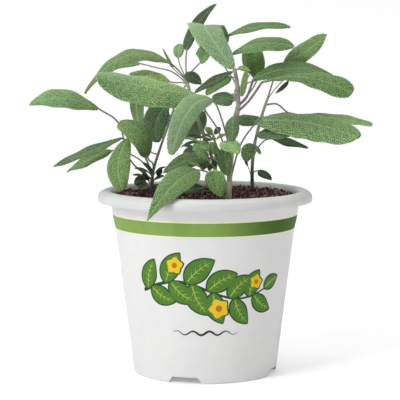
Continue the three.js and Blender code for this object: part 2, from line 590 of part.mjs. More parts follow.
place('pot', potSolid(), POT_PLASTIC);
place('soil', soilSolid(), COMPOST);
for (const [name, stem] of Object.entries(STEMS)) place(name, stemSolid(stem), SAGE_GREEN);

export default part;
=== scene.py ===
"""Potted sage: a young kitchen sage in its white nursery pot, as it looks.

Sizes are in millimetres, as in the part's own source, and become metres when a mesh is made;
what shaders, camera and lamps read is in metres. The front of the pot looks towards -Y. The
plant's rows are the ones of the part's own source, so that each fine leaf lies where its plain
solid is.
"""

import logging
import math
from dataclasses import dataclass, field
from enum import Enum
from typing import Any, Sequence

import bpy
import numpy as np
from bpy.types import ID, Material, Mesh, Node, NodeSocket, NodeTree, Object
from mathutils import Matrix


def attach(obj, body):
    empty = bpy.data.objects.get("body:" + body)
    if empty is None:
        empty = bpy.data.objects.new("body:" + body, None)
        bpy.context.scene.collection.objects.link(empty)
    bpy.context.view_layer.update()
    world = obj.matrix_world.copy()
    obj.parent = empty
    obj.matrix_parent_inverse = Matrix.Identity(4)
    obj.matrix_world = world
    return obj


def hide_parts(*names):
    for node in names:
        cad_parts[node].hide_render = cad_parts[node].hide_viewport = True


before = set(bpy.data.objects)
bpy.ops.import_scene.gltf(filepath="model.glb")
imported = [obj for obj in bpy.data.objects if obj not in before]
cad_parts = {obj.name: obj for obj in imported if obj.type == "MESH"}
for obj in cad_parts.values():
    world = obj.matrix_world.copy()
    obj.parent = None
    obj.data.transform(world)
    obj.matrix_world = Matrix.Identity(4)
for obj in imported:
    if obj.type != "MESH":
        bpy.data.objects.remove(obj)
LOG = logging.getLogger("sage")

MM = 0.001
BODY = "root"
# Heights in metres: stems are old, bare wood below the first and downy above the second.
BARE_BELOW = 0.1
DOWNY_ABOVE = 0.125

Array = np.ndarray
Point = tuple[float, float, float]
Colour = tuple[float, float, float, float]


def srgb(code: str) -> Colour:
    """Turns a colour's hexadecimal code into the linear colour that shaders read.

    Args:
        code: Six hexadecimal digits.

    Returns:
        Red, green, blue and an alpha of 1.
    """
    shares = (int(code[at:at + 2], 16) / 255 for at in (0, 2, 4))
    red, green, blue = (c / 12.92 if c <= 0.04045 else ((c + 0.055) / 1.055) ** 2.4 for c in shares)
    return (red, green, blue, 1.0)


def rgb(code: str) -> Array:
    """Turns a colour's hexadecimal code into an array of its linear red, green and blue."""
    return np.array(srgb(code)[:3])


# -------------------- meshes


@dataclass
class Gathered:
    """Many closed shapes, gathered into one mesh with values for each of its points."""

    points: list[Array] = field(default_factory=list)
    polygons: list[Array] = field(default_factory=list)
    slots: list[Array] = field(default_factory=list)
    values: dict[str, list[Array]] = field(default_factory=dict)
    count: int = 0

    def add(self, points: Array, *polygons: Array, slot: int = 0, **values: Array) -> None:
        """Adds one closed shape and turns its faces outwards.

        Args:
            points: One row for each point, in millimetres.
            polygons: Arrays of corner numbers, each with as many corners in every row.
            slot: The material slot of its faces.
            values: A number or a colour for each point, by the attribute's name.
        """
        if enclosed_volume(points, polygons) < 0:
            polygons = tuple(rows[:, ::-1] for rows in polygons)
        for rows in polygons:
            self.polygons.append(rows + self.count)
            self.slots.append(np.full(len(rows), slot))
        self.points.append(points)
        self.count += len(points)
        for name, value in values.items():
            self.values.setdefault(name, []).append(value)

    def as_object(self, name: str, *finishes: Material, crease: float = 180.0) -> Object:
        """Makes the gathered shapes one object.

        Args:
            name: The piece's name.
            finishes: The materials of its slots.
            crease: The angle in degrees past which an edge stays sharp.

        Returns:
            The object, at the origin and in the scene.
        """
        mesh = mesh_from(name, np.concatenate(self.points), self.polygons)
        mesh.polygons.foreach_set("material_index", np.concatenate(self.slots).astype(np.int32))
        for attribute, parts in self.values.items():
            store(mesh, attribute, np.concatenate(parts))
        if crease < 180.0:
            mesh.set_sharp_from_angle(angle=math.radians(crease))
        for finish in finishes:
            mesh.materials.append(finish)
        return placed(name, mesh)


def enclosed_volume(points: Array, polygons: Sequence[Array]) -> float:
    """Measures what a closed shape encloses: below zero if its faces point inwards.

    Args:
        points: One row for each point.
        polygons: Arrays of corner numbers.

    Returns:
        Its volume, in the cube of the points' unit.
    """
    total = 0.0
    for rows in polygons:
        for corner in range(1, rows.shape[1] - 1):
            a, b, c = points[rows[:, 0]], points[rows[:, corner]], points[rows[:, corner + 1]]
            total += float(np.einsum("ij,ij->", a, np.cross(b, c)))
    return total / 6


def mesh_from(name: str, points: Array, polygons: Sequence[Array]) -> Mesh:
    """Makes a smooth-shaded mesh from points in millimetres and arrays of corner numbers.

    Args:
        name: The mesh's name.
        points: One row for each point, in millimetres.
        polygons: Arrays of corner numbers, each with as many corners in every row.

    Returns:
        The mesh, in metres.
    """
    corners = np.concatenate([rows.ravel() for rows in polygons]).astype(np.int32)
    totals = np.concatenate([np.full(len(rows), rows.shape[1]) for rows in polygons])
    starts = np.concatenate([[0], np.cumsum(totals)[:-1]]).astype(np.int32)
    mesh = bpy.data.meshes.new(name)
    mesh.vertices.add(len(points))
    mesh.vertices.foreach_set("co", (points * MM).astype(np.float32).ravel())
    mesh.loops.add(len(corners))
    mesh.loops.foreach_set("vertex_index", corners)
    mesh.polygons.add(len(starts))
    mesh.polygons.foreach_set("loop_start", starts)
    mesh.update(calc_edges=True)
    mesh.polygons.foreach_set("use_smooth", np.ones(len(starts), bool))
    return mesh


def store(mesh: Mesh, name: str, values: Array) -> None:
    """Stores a number or a colour for each point of a mesh.

    Args:
        mesh: The mesh.
        name: The attribute's name.
        values: A number, or a row of a colour, for each point.
    """
    if values.ndim == 1:
        mesh.attributes.new(name, "FLOAT", "POINT").data.foreach_set("value", values.astype(np.float32))
        return
    opaque = np.concatenate([values[:, :3], np.ones((len(values), 1))], axis=1)
    data = mesh.attributes.new(name, "FLOAT_COLOR", "POINT").data
    data.foreach_set("color", opaque.astype(np.float32).ravel())


def placed(name: str, data: ID) -> Object:
    """Puts a mesh, a lamp or a camera into the scene, at the origin.

    Args:
        name: The object's name.
        data: What it shows.

    Returns:
        The object.
    """
    made = bpy.data.objects.new(name, data)
    bpy.context.scene.collection.objects.link(made)
    return made


def ring_quads(rings: int, around: int) -> Array:
    """Faces between rings of points that close on themselves, ring after ring.

    Args:
        rings: How many rings there are.
        around: How many points each ring has.

    Returns:
        Corner numbers, one row for each face.
    """
    ring, corner = np.meshgrid(np.arange(rings - 1), np.arange(around), indexing="ij")
    a = (ring * around + corner).ravel()
    b = (ring * around + (corner + 1) % around).ravel()
    return np.stack([a, b, b + around, a + around], axis=1)


def fan(centre: int, ring: Array) -> Array:
    """Triangles from one point to a closed ring of points."""
    return np.stack([np.full(len(ring), centre), ring, np.roll(ring, -1)], axis=1)


def lofted(rings: Array) -> tuple[Array, Array, Array]:
    """Skins closed rings of points and closes both ends at the rings' middles.

    Args:
        rings: Points as (ring, corner, axis).

    Returns:
        The points, then the faces of four and of three corners.
    """
    count, around = rings.shape[:2]
    points = np.concatenate([rings.reshape(-1, 3), rings[[0, -1]].mean(axis=1)])
    first, last = np.arange(around), (count - 1) * around + np.arange(around)
    ends = np.concatenate([fan(count * around, first[::-1]), fan(count * around + 1, last)])
    return points, ring_quads(count, around), ends


def through(route: Sequence[Point] | Array, count: int) -> Array:
    """Gives evenly shared points on a smooth curve through a route's points."""
    return smooth_at(np.asarray(route, float), np.linspace(0, len(route) - 1, count))


def smooth_at(route: Array, place: Array) -> Array:
    """Reads a uniform Catmull-Rom curve at places counted in its own points.

    Args:
        route: The points that it goes through.
        place: Places on it.

    Returns:
        A point for each place.
    """
    padded = np.vstack([2 * route[0] - route[1], route, 2 * route[-1] - route[-2]])
    start = np.clip(place.astype(int), 0, len(route) - 2)
    u = (place - start)[:, None]
    a, b, c, d = (padded[start + step] for step in range(4))
    square, cube = 2 * a - 5 * b + 4 * c - d, 3 * b - a - 3 * c + d
    return 0.5 * (2 * b + (c - a) * u + square * u ** 2 + cube * u ** 3)


def unit(vectors: Array) -> Array:
    """Scales each vector to a length of 1."""
    return vectors / np.maximum(np.linalg.norm(vectors, axis=-1, keepdims=True), 1e-12)


def smoothstep(low: float, high: float, value: Array) -> Array:
    """Rises smoothly from 0 at low to 1 at high."""
    share = np.clip((value - low) / (high - low), 0, 1)
    return share * share * (3 - 2 * share)


def scattered(x: Array, y: Array, seed: float) -> Array:
    """A number from 0 to 1 for each pair of whole numbers, which looks random."""
    return np.mod(np.sin(x * 127.1 + y * 311.7 + seed * 74.7) * 43758.5453, 1.0)


def cobbles(x: Array, y: Array, size: float, seed: float) -> Array:
    """Rounded cells in a net: 0 on the net and 1 on each cell's top.

    Args:
        x: Places along the surface, in millimetres.
        y: Places across the surface, in millimetres.
        size: The cells' pitch, in millimetres.
        seed: Which pattern.

    Returns:
        The height of the pattern at each place.
    """
    x, y = x / size, y / size
    column, row = np.floor(x), np.floor(y)
    nearest = np.full(x.shape, 9.0)
    second = np.full(x.shape, 9.0)
    for step_x in (-1, 0, 1):
        for step_y in (-1, 0, 1):
            cell_x, cell_y = column + step_x, row + step_y
            at_x = cell_x + 0.12 + 0.76 * scattered(cell_x, cell_y, seed)
            at_y = cell_y + 0.12 + 0.76 * scattered(cell_x, cell_y, seed + 5.3)
            away = np.hypot(x - at_x, y - at_y)
            second = np.minimum(second, np.maximum(nearest, away))
            nearest = np.minimum(nearest, away)
    return smoothstep(0, 0.5, second - nearest)


def rough(x: Array, y: Array, pitch: float, seed: float, layers: int = 3) -> Array:
    """Smooth lumps in several sizes, from about -1 to 1, each layer half as large as the last.

    Args:
        x: Places along one side, in millimetres.
        y: Places along the other side.
        pitch: The largest lumps' pitch.
        seed: Which pattern.
        layers: How many sizes of lumps there are.

    Returns:
        The height at each place.
    """
    total = np.zeros(x.shape)
    for layer in range(layers):
        at_x, at_y = x / pitch * 2 ** layer, y / pitch * 2 ** layer
        column, row = np.floor(at_x), np.floor(at_y)
        blend_x, blend_y = smoothstep(0, 1, at_x - column), smoothstep(0, 1, at_y - row)
        corners = [scattered(column + i, row + j, seed + layer) for j in (0, 1) for i in (0, 1)]
        low = corners[0] + (corners[1] - corners[0]) * blend_x
        high = corners[2] + (corners[3] - corners[2]) * blend_x
        total += (2 * (low + (high - low) * blend_y) - 1) / 2 ** layer
    return total


# -------------------- node trees


class Wiring:
    """Puts nodes into a shader or geometry tree and joins their sockets."""

    def __init__(self, tree: NodeTree) -> None:
        """Takes the tree to build in."""
        self.tree = tree

    def feed(self, socket: NodeSocket, value: Any) -> None:
        """Links a socket to another or to a node's first output, or sets its own value.

        Args:
            socket: The input.
            value: A socket to link to it, or its value.
        """
        if isinstance(value, Node):
            value = value.outputs[0]
        if isinstance(value, NodeSocket):
            self.tree.links.new(value, socket)
        else:
            socket.default_value = value

    def node(self, kind: str, inputs: dict[str | int, Any] | None = None, **settings: Any) -> Node:
        """Adds a node.

        Args:
            kind: Blender's name for its type.
            inputs: A value or a socket for each of its inputs, by name or number.
            settings: Its own settings.

        Returns:
            The node.
        """
        made = self.tree.nodes.new(kind)
        for name, value in settings.items():
            setattr(made, name, value)
        for name, value in (inputs or {}).items():
            self.feed(made.inputs[name], value)
        return made

    def dress(self, shader: Node, inputs: dict[str, Any]) -> None:
        """Feeds a shader's inputs: what is linked and what is one number.

        Args:
            shader: The shader.
            inputs: A value or a socket for each of its inputs, by name.
        """
        for name, value in inputs.items():
            self.feed(shader.inputs[name], value)

    def math(self, operation: str, a: Any, b: Any = 0.0) -> NodeSocket:
        """Works out one sum on two numbers."""
        return self.node("ShaderNodeMath", {0: a, 1: b}, operation=operation).outputs[0]

    def times(self, a: Any, b: Any) -> NodeSocket:
        """Multiplies two numbers."""
        return self.math("MULTIPLY", a, b)

    def scaled(self, vector: Any, factor: Any) -> NodeSocket:
        """Multiplies a vector or a colour by a number."""
        return self.node("ShaderNodeVectorMath", {0: vector, "Scale": factor}, operation="SCALE").outputs[0]

    def split(self, vector: Any) -> list[NodeSocket]:
        """Takes a vector apart into its x, y and z."""
        return list(self.node("ShaderNodeSeparateXYZ", {0: vector}).outputs)

    def mix(self, factor: Any, a: Any, b: Any, blend: str = "MIX") -> NodeSocket:
        """Mixes two colours."""
        inputs = {"Factor": factor, 6: a, 7: b}
        return self.node("ShaderNodeMix", inputs, data_type="RGBA", blend_type=blend).outputs[2]

    def share(self, value: Any, low: float, high: float, start: Any = 0.0, end: Any = 1.0) -> NodeSocket:
        """Turns a range of a value smoothly into another range."""
        inputs = {"Value": value, "From Min": low, "From Max": high, "To Min": start, "To Max": end}
        return self.node("ShaderNodeMapRange", inputs, interpolation_type="SMOOTHSTEP").outputs[0]

    def noise(self, scale: float, detail: float = 2.0, **inputs: Any) -> NodeSocket:
        """Soft noise on the object's own coordinates, or on those that are given."""
        values = {"Scale": scale, "Detail": detail, "Vector": self.place(), **inputs}
        return self.node("ShaderNodeTexNoise", values).outputs["Fac"]

    def place(self) -> NodeSocket:
        """The object's own coordinates, in metres."""
        return self.node("ShaderNodeTexCoord").outputs["Object"]

    def value_of(self, attribute: str, output: str = "Fac") -> NodeSocket:
        """A value that is stored with the mesh."""
        return self.node("ShaderNodeAttribute", attribute_name=attribute).outputs[output]

    def bump(self, height: Any, depth: float, strength: float = 1.0, **inputs: Any) -> NodeSocket:
        """A normal from a height, with the bump's depth in millimetres."""
        values = {"Strength": strength, "Distance": depth * MM, "Height": height, **inputs}
        return self.node("ShaderNodeBump", values).outputs["Normal"]

    def draw(self, low: Any, high: Any, seed: Any, kind: str = "FLOAT_VECTOR") -> NodeSocket:
        """Draws a random vector or number for each element.

        Args:
            low: The least number or vector.
            high: The greatest.
            seed: The seed.
            kind: Blender's name for the type of what is drawn.

        Returns:
            What is drawn.
        """
        first = 0 if kind == "FLOAT_VECTOR" else 2
        inputs = {first: low, first + 1: high, "Seed": seed}
        return self.node("FunctionNodeRandomValue", inputs, data_type=kind).outputs[first // 2]

    def deliver(self, end: Node, geometry: Any, finish: Material) -> None:
        """Ends a geometry tree with real meshes in their material.

        Args:
            end: The node of the tree's outputs.
            geometry: What the tree has made.
            finish: Its material.
        """
        real = self.node("GeometryNodeRealizeInstances", {"Geometry": geometry})
        dressed = self.node("GeometryNodeSetMaterial", {"Geometry": real, "Material": finish})
        self.feed(end.inputs["Geometry"], dressed)


def new_group(kind: str, name: str, inputs: dict[str, tuple[str, Any]], outputs: dict[str, str]) -> tuple:
    """Makes a node group with named inputs and outputs.

    Args:
        kind: The tree's type.
        name: The group's name.
        inputs: Each input's kind of socket and its default, or None.
        outputs: Each output's kind of socket.

    Returns:
        The group, its wiring, the node of its inputs and the node of its outputs.
    """
    tree = bpy.data.node_groups.new(name, kind)
    for label, (socket, default) in inputs.items():
        made = tree.interface.new_socket(name=label, in_out="INPUT", socket_type="NodeSocket" + socket)
        if default is not None:
            made.default_value = default
    for label, socket in outputs.items():
        tree.interface.new_socket(name=label, in_out="OUTPUT", socket_type="NodeSocket" + socket)
    wire = Wiring(tree)
    return tree, wire, wire.node("NodeGroupInput"), wire.node("NodeGroupOutput")


def new_growth(name: str, inputs: dict[str, tuple[str, Any]]) -> tuple:
    """Makes a geometry tree with named inputs, which takes a geometry and gives one."""
    first, made = {"Geometry": ("Geometry", None)}, {"Geometry": "Geometry"}
    return new_group("GeometryNodeTree", name, {**first, **inputs}, made)


def mottle_group() -> NodeTree:
    """Uneven tone in two sizes, which living and moulded surfaces both show.

    Returns:
        The group.
    """
    inputs = {"Vector": ("Vector", None), "Scale": ("Float", 300.0),
              "Contrast": ("Float", 1.0)}
    outputs = {"Mask": "Float", "Height": "Float"}
    tree, wire, start, end = new_group("ShaderNodeTree", "UnevenTone", inputs, outputs)
    at, scale = start.outputs["Vector"], start.outputs["Scale"]
    broad = wire.noise(1.0, 3.0, Vector=at, Scale=scale)
    finer = wire.noise(1.0, 2.0, Vector=at, Scale=wire.times(scale, 4.3))
    both = wire.math("ADD", wire.times(broad, 0.65), wire.times(finer, 0.35))
    spread = wire.times(wire.math("SUBTRACT", both, 0.5), start.outputs["Contrast"])
    mask = wire.node("ShaderNodeClamp", {"Value": wire.math("ADD", spread, 0.5)})
    wire.feed(end.inputs["Mask"], mask)
    wire.feed(end.inputs["Height"], both)
    return tree


def felt_group() -> NodeTree:
    """The down on a sage plant's skin: pale specks and a fine nap.

    Returns:
        The group.
    """
    inputs = {"Vector": ("Vector", None), "Amount": ("Float", 0.5)}
    outputs = {"Mask": "Float", "Height": "Float"}
    tree, wire, start, end = new_group("ShaderNodeTree", "PaleDown", inputs, outputs)
    specks = wire.noise(5200.0, 2.0, Vector=start.outputs["Vector"])
    tufts = wire.noise(1500.0, 2.0, Vector=start.outputs["Vector"])
    mask = wire.times(wire.share(specks, 0.42, 0.68), wire.share(tufts, 0.3, 0.62))
    wire.feed(end.inputs["Mask"], wire.times(mask, start.outputs["Amount"]))
    wire.feed(end.inputs["Height"], specks)
    return tree


class Effects(Enum):
    """The shader groups that more than one finish uses, each built once."""

    UNEVEN_TONE = "UnevenTone"
    PALE_DOWN = "PaleDown"

    def placed_in(self, wire: Wiring, **inputs: Any) -> Node:
        """Places the group in a material, on the object's own coordinates.

        Args:
            wire: The material's wiring.
            inputs: Values or sockets for the group's inputs.

        Returns:
            The group's node.
        """
        makers = {Effects.UNEVEN_TONE: mottle_group, Effects.PALE_DOWN: felt_group}
        tree = bpy.data.node_groups.get(self.value) or makers[self]()
        made = wire.node("ShaderNodeGroup", node_tree=tree)
        for name, value in {"Vector": wire.place(), **inputs}.items():
            wire.feed(made.inputs[name], value)
        return made


def new_material(name: str) -> tuple[Material, Wiring, Node]:
    """Makes an empty material.

    Args:
        name: The material's name.

    Returns:
        The material, its wiring and its Principled BSDF.
    """
    made = bpy.data.materials.new(name)
    made.use_nodes = True
    return made, Wiring(made.node_tree), made.node_tree.nodes["Principled BSDF"]


def grown(name: str, host: Object, tree: NodeTree, **inputs: Any) -> Object:
    """Runs a geometry tree on a host and keeps the result as a plain mesh.

    Args:
        name: The new piece's name.
        host: The object that the tree reads, which is removed.
        tree: The geometry tree.
        inputs: Values for its named inputs, spaces written as underscores.

    Returns:
        The piece, with no modifier left.
    """
    modifier = host.modifiers.new("growth", "NODES")
    modifier.node_group = tree
    for item in tree.interface.items_tree:
        key = item.name.replace(" ", "_")
        if item.item_type == "SOCKET" and item.in_out == "INPUT" and key in inputs:
            modifier[item.identifier] = inputs[key]
    evaluated = host.evaluated_get(bpy.context.evaluated_depsgraph_get())
    mesh = bpy.data.meshes.new_from_object(evaluated)
    mesh.name = name
    bpy.data.objects.remove(host)
    return placed(name, mesh)


def finished(piece: Object, slot: str, *nodes: str) -> None:
    """Attaches a piece to what it rides on and hides the plain solids that it stands for.

    Args:
        piece: The finished object.
        slot: Not used.
        nodes: The plain solids that it replaces.
    """
    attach(piece, BODY)
    if nodes:
        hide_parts(*nodes)
    piece.data.calc_loop_triangles()
    LOG.info("%s: %d triangles", piece.name, len(piece.data.loop_triangles))


# -------------------- the plant's plan


class Tone(Enum):
    """The upper face's colour of a leaf, by its age and by how much it stands in the others' shade."""

    # SHADE, DEEP and BRIGHT are darkened as painted shade; LIT and PALE are lightened as painted light.
    MID = "688850"
    LIT = "7ca264"
    DEEP = "466339"
    SHADE = "263d22"
    SILVER = "7f9c70"
    YOUNG = "839b5c"
    BRIGHT = "56783c"
    PALE = "b2cf90"


class Stalk(Enum):
    """A leaf stalk's colour and half its width in millimetres."""

    PALE = ("7b8066", 0.4)
    PURPLE = ("6a5762", 0.45)
    THICK = ("6a5164", 0.66)


@dataclass(frozen=True)
class Leaf:
    """One leaf: where it starts on its stem and the points that its blade goes through.

    Attributes:
        name: What it is called.
        joint: The share of the stem's length at which its stalk starts.
        base: Where stalk and blade meet.
        left: The blade's left edge at half its length.
        right: The blade's right edge at half its length.
        tip: The blade's tip.
        fold: How far the edges stand above the midrib, as a share of the half width.
        base_taper: How slowly the blade widens from its base.
        tip_taper: How slowly it narrows to its tip.
        tone: The colour of its upper face.
        by: Points that the stalk passes on its way.
        twist: The turn about the midrib from base to tip, in degrees.
        stalk: The stalk's kind.
        wither: How brown the tip has turned, from 0 to 1.
    """

    name: str
    joint: float
    base: Point
    left: Point
    right: Point
    tip: Point
    fold: float
    base_taper: float
    tip_taper: float
    tone: Tone
    by: tuple[Point, ...] = ()
    twist: float = 0.0
    stalk: Stalk = Stalk.PALE
    wither: float = 0.0


def leaflet(joint: float, base: Point, tip: Point, width: float, facing: Point,
            tone: Tone = Tone.SHADE) -> Leaf:
    """Plans one of the small young leaves.

    Args:
        joint: The share of the stem's length at which it starts.
        base: Where its blade starts.
        tip: Its tip.
        width: Its blade's width.
        facing: The way that its upper face looks.
        tone: The colour of its upper face.

    Returns:
        Its plan.
    """
    start, end = np.array(base, float), np.array(tip, float)
    along = unit(end - start)
    up = unit(np.array(facing, float) - along * np.dot(facing, along))
    across = np.cross(along, up)
    middle = (start + end) / 2 + up * 0.12 * np.linalg.norm(end - start)
    left, right = middle - across * width / 2, middle + across * width / 2
    return Leaf("leaflet", joint, base, tuple(left), tuple(right), tip, 0.1, 0.6, 0.6, tone)


@dataclass(frozen=True)
class Stem:
    """One leafy stem: its way up, its half widths at foot and top, its bark and its leaves."""

    node: str
    route: tuple[Point, ...]
    radii: tuple[float, float]
    leaves: tuple[Leaf, ...]
    foot_bark: str
    top_bark: str


LEFT_LEAVES = (
    Leaf("far_left", 0.35, (-56.5, -6, 141.5), (-73.5, -22, 142.8), (-75.5, -12, 152.2),
         (-91.2, -24, 144.4), -0.05, 0.75, 0.95, Tone.LIT, by=((-40.5, -1, 114.5), (-46, 1, 133)),
         stalk=Stalk.PURPLE),
    Leaf("low_left_long", 0.42, (-45, 0, 125.5), (-61, -17, 117.5), (-64, -4, 120.5), (-80, -14, 111.5),
         0.05, 0.8, 0.95, Tone.DEEP, stalk=Stalk.PURPLE),
    Leaf("low_left_short", 0.42, (-50, 4, 118.5), (-60.5, -2, 112), (-64, 10, 115.5), (-74.5, 4, 107), 0,
         0.8, 0.95, Tone.MID),
    Leaf("left_hanging", 0.38, (-41, -10, 126), (-39.5, -23, 112), (-51, -19, 113), (-43, -24, 99.5), -0.15,
         0.6, 0.55, Tone.MID),
    Leaf("left_inner", 0.5, (-30.5, -8, 116), (-39.5, -18, 126), (-29, -9, 131), (-45.5, -6, 134.5), -0.15,
         0.45, 0.4, Tone.MID, wither=0.12),
    Leaf("left_dark", 0.98, (-20, 6, 143.5), (-20.5, 8, 133), (-33.5, 15, 133.5), (-25.5, 6, 123), 0.1, 0.6,
         0.6, Tone.DEEP),
    Leaf("left_behind", 0.6, (-35, 17, 128), (-33.5, 20, 141), (-40.5, 24, 140.5), (-39, 32, 152.5), 0.1,
         0.7, 0.6, Tone.MID, by=((-30, 12, 118),)),
    Leaf("soil_dark_left", 0.25, (-32, 12, 99.5), (-35, 8, 99), (-35.5, 12, 104.5), (-38.5, 12, 100.5), 0.1,
         0.6, 0.6, Tone.SHADE),
    leaflet(0.3, (-31, 2, 103.5), (-38.5, -4, 106), 2.5, (0, -0.8, 1)),
    leaflet(0.33, (-30, 4, 106.5), (-38, 4, 109), 2, (0, -0.8, 1)),
    leaflet(0.37, (-28.5, 2, 108), (-33.5, 0, 112.5), 2, (-0.3, -1, 0.6)),
    leaflet(0.37, (-26.5, 2, 107), (-21, -2, 110), 2.5, (0.2, -0.8, 1)),
    leaflet(0.28, (-27.5, 4, 102.5), (-22, 2, 105), 2.5, (0.2, -0.8, 1)),
    leaflet(0.25, (-31, 4, 100.5), (-35.5, -2, 102), 2, (0, -0.8, 1)),
    leaflet(0.22, (-30.5, 3, 102.5), (-33, -1, 108), 3, (-0.4, -1, 0.5)),
    leaflet(0.3, (-25.5, 3, 105), (-23.5, 0, 109.5), 3, (0.3, -1, 0.4)),
    leaflet(0.24, (-27, 1, 100.5), (-23, -4, 98), 3.2, (0.3, -0.9, 0.8)),
    leaflet(0.2, (-31.5, 2, 99.5), (-35.5, -4, 99), 3, (-0.3, -0.9, 0.8)),
)
CENTRE_LEAVES = (
    Leaf("left_big", 0.39, (-4, -12, 148.5), (-32, -26, 144.5), (-30, -8, 157.5), (-55.5, -32, 158.5), -0.3,
         0.5, 0.42, Tone.LIT, by=((7.5, -13, 129), (0.5, -10, 140)), stalk=Stalk.PURPLE),
    Leaf("top_big", 1, (15, -4, 162.5), (-9, 6, 185.5), (8.5, 11, 184.5), (12, 28, 176), 0.05, 0.55, 0.5,
         Tone.SILVER),
    Leaf("centre_pale", 0.44, (4, -18, 146.5), (-4, -31, 138.5), (-13, -31, 145.5), (-17.5, -40, 119.5),
         -0.2, 0.55, 0.5, Tone.SILVER, by=((10, -17, 132), (6.5, -17, 142.5)), stalk=Stalk.PURPLE),
    Leaf("dark_slant", 0.97, (14.5, -3, 161), (5.7, -7.5, 154.7), (3.3, -0.5, 157.9), (-5.5, -4, 150), 0.1,
         0.7, 0.7, Tone.SHADE),
    Leaf("centre_dark", 0.81, (15, -7, 146), (10, -12, 143.5), (9, -1, 150.5), (4, -4, 148), -0.1, 0.5, 0.6,
         Tone.DEEP),
    Leaf("young_yellow", 0.83, (19.5, -7, 148), (19, -9, 155.5), (22.5, -6, 155), (22, -6, 162.5), 0.2, 0.6,
         0.7, Tone.YOUNG),
    Leaf("young_arch", 0.97, (17.5, -1, 162), (20.5, 1, 164), (20, -3, 161.5), (24, -1, 161), 0.1, 0.6, 0.7,
         Tone.YOUNG),
    Leaf("centre_hanging", 0.65, (15, -15, 138), (17.5, -23, 132.5), (10.5, -24, 131.5), (14, -27, 125.5),
         -0.1, 0.6, 0.65, Tone.DEEP),
    Leaf("centre_bright", 0.41, (8, -24, 124.5), (15.5, -26, 126), (11, -32, 121), (17, -33, 119.5), 0, 0.6,
         0.75, Tone.LIT),
    Leaf("upper_right_thin", 0.97, (11, 22, 179), (28, 26, 187), (29, 15, 183), (46.5, 20, 184.5), 0.05,
         0.75, 0.75, Tone.BRIGHT),
    Leaf("upper_right_wide", 0.96, (14.5, 8, 170), (30.5, 12, 179), (31.5, -2, 172), (47.5, 2, 174), -0.05,
         0.7, 0.55, Tone.BRIGHT),
    Leaf("right_dark_upright", 0.67, (28.5, 12, 156.5), (23, 20, 166), (32, 17, 165.5), (26, 28, 177), 0.1,
         0.6, 0.6, Tone.BRIGHT, by=((24.5, 2, 150.5),)),
    Leaf("right_arch", 0.67, (25.5, -2, 156.5), (49, 12, 166), (46, -4, 158.5), (69, 6, 158), -0.05, 0.6,
         0.6, Tone.BRIGHT, by=((22, -5, 147.5),), stalk=Stalk.THICK),
    Leaf("right_long", 0.63, (30, -8, 155.5), (54, -12, 161), (51, -24, 155), (76, -26, 150.5), -0.05, 0.9,
         0.35, Tone.BRIGHT, by=((23, -8, 145.5),), twist=-60, stalk=Stalk.THICK),
    Leaf("right_big", 0.28, (27.5, -6, 135), (56, -8, 138.5), (52, -24, 127), (78, -36, 128), -0.2, 0.5,
         0.4, Tone.MID, by=((18.5, -14, 122.5),), stalk=Stalk.PURPLE),
    Leaf("foot_broad", 0.17, (8.5, -30.5, 97.4), (0.4, -32, 105), (10.6, -32.5, 104.5), (4.5, -34, 111),
         0.1, 0.6, 0.4, Tone.LIT),
    Leaf("foot_rolled", 0.27, (11.5, -25, 107.5), (6.5, -27, 115.5), (13.5, -29, 115.5), (10, -28, 123),
         0.5, 0.6, 0.6, Tone.DEEP),
    Leaf("front_hanging", 0.25, (-4, -30, 111), (-12.5, -53, 100), (-21.5, -47, 108.5), (-29, -63, 88.5),
         -0.1, 0.5, 1.1, Tone.MID),
    Leaf("front_dark", 0.34, (2, -19, 116.5), (-9, -27, 112), (-11, -17, 118.5), (-22, -24, 109), 0.05, 0.6,
         0.75, Tone.DEEP),
    Leaf("soil_dark_mid", 0.21, (-1, -17, 100.5), (-5.5, -22, 98.5), (-7.5, -16, 102.5), (-12, -20, 98.5),
         0.1, 0.6, 0.6, Tone.SHADE),
    leaflet(0.2, (0.5, -27, 117), (-5, -30, 122), 5, (-0.2, -1, 0.6), Tone.MID),
    leaflet(0.21, (4.5, -27, 119), (3, -31, 125.5), 4.5, (0, -1, 0.4), Tone.BRIGHT),
    leaflet(0.19, (-2.5, -26, 112), (-8.5, -30, 115), 4.5, (-0.2, -0.8, 1), Tone.MID),
)
RIGHT_LEAVES = (
    Leaf("right_up", 1, (42.5, 18, 164.5), (51.5, 22, 175), (57.5, 12, 168.5), (65, 10, 180.5), 0.05, 0.7,
         0.8, Tone.MID),
    Leaf("right_nib", 0.98, (44.5, 2, 156), (42.5, 0, 152), (41, 2, 153.5), (37.5, -1, 149.5), 0.1, 0.7,
         0.8, Tone.SHADE),
    Leaf("far_right", 0.87, (50.5, 16, 136), (72.5, 22, 137.2), (70.5, 11, 133.2), (91.2, 16, 131.8), 0,
         0.6, 0.55, Tone.LIT, stalk=Stalk.PURPLE),
    Leaf("right_inner", 0.76, (30.5, 8, 134), (23.5, 8, 131.5), (24, 16, 137), (17.5, 14, 134.5), 0, 0.6,
         0.6, Tone.MID),
    Leaf("right_big_under", 0.71, (28, -6, 128), (39, -9, 133), (38, -18, 126.5), (49.5, -15, 131), 0.1,
         0.6, 0.7, Tone.DEEP),
    Leaf("right_small_low", 0.49, (35.5, 6, 125), (46, 10, 124.5), (44, 1, 121.5), (55.5, 4, 120), 0.05,
         0.7, 0.8, Tone.DEEP),
    Leaf("right_small_a", 0.57, (26, 1, 121.5), (26, -3, 117), (19.5, -6, 119), (23, -6, 113.5), 0.05, 0.5,
         0.6, Tone.MID),
    Leaf("right_small_b", 0.57, (27, 1, 121.5), (29.5, 0, 119.5), (27, -2, 119), (29.5, -3, 117), 0.05, 0.6,
         0.8, Tone.MID),
    Leaf("right_small_c", 0.36, (28.5, 5, 107.5), (33, 6, 107), (30.5, 1, 104.5), (35.5, 0, 103), 0.05, 0.6,
         0.75, Tone.SHADE),
    leaflet(0.3, (23, 8, 110), (21.5, 6, 114.5), 1.6, (-0.4, -1, 0.4)),
)
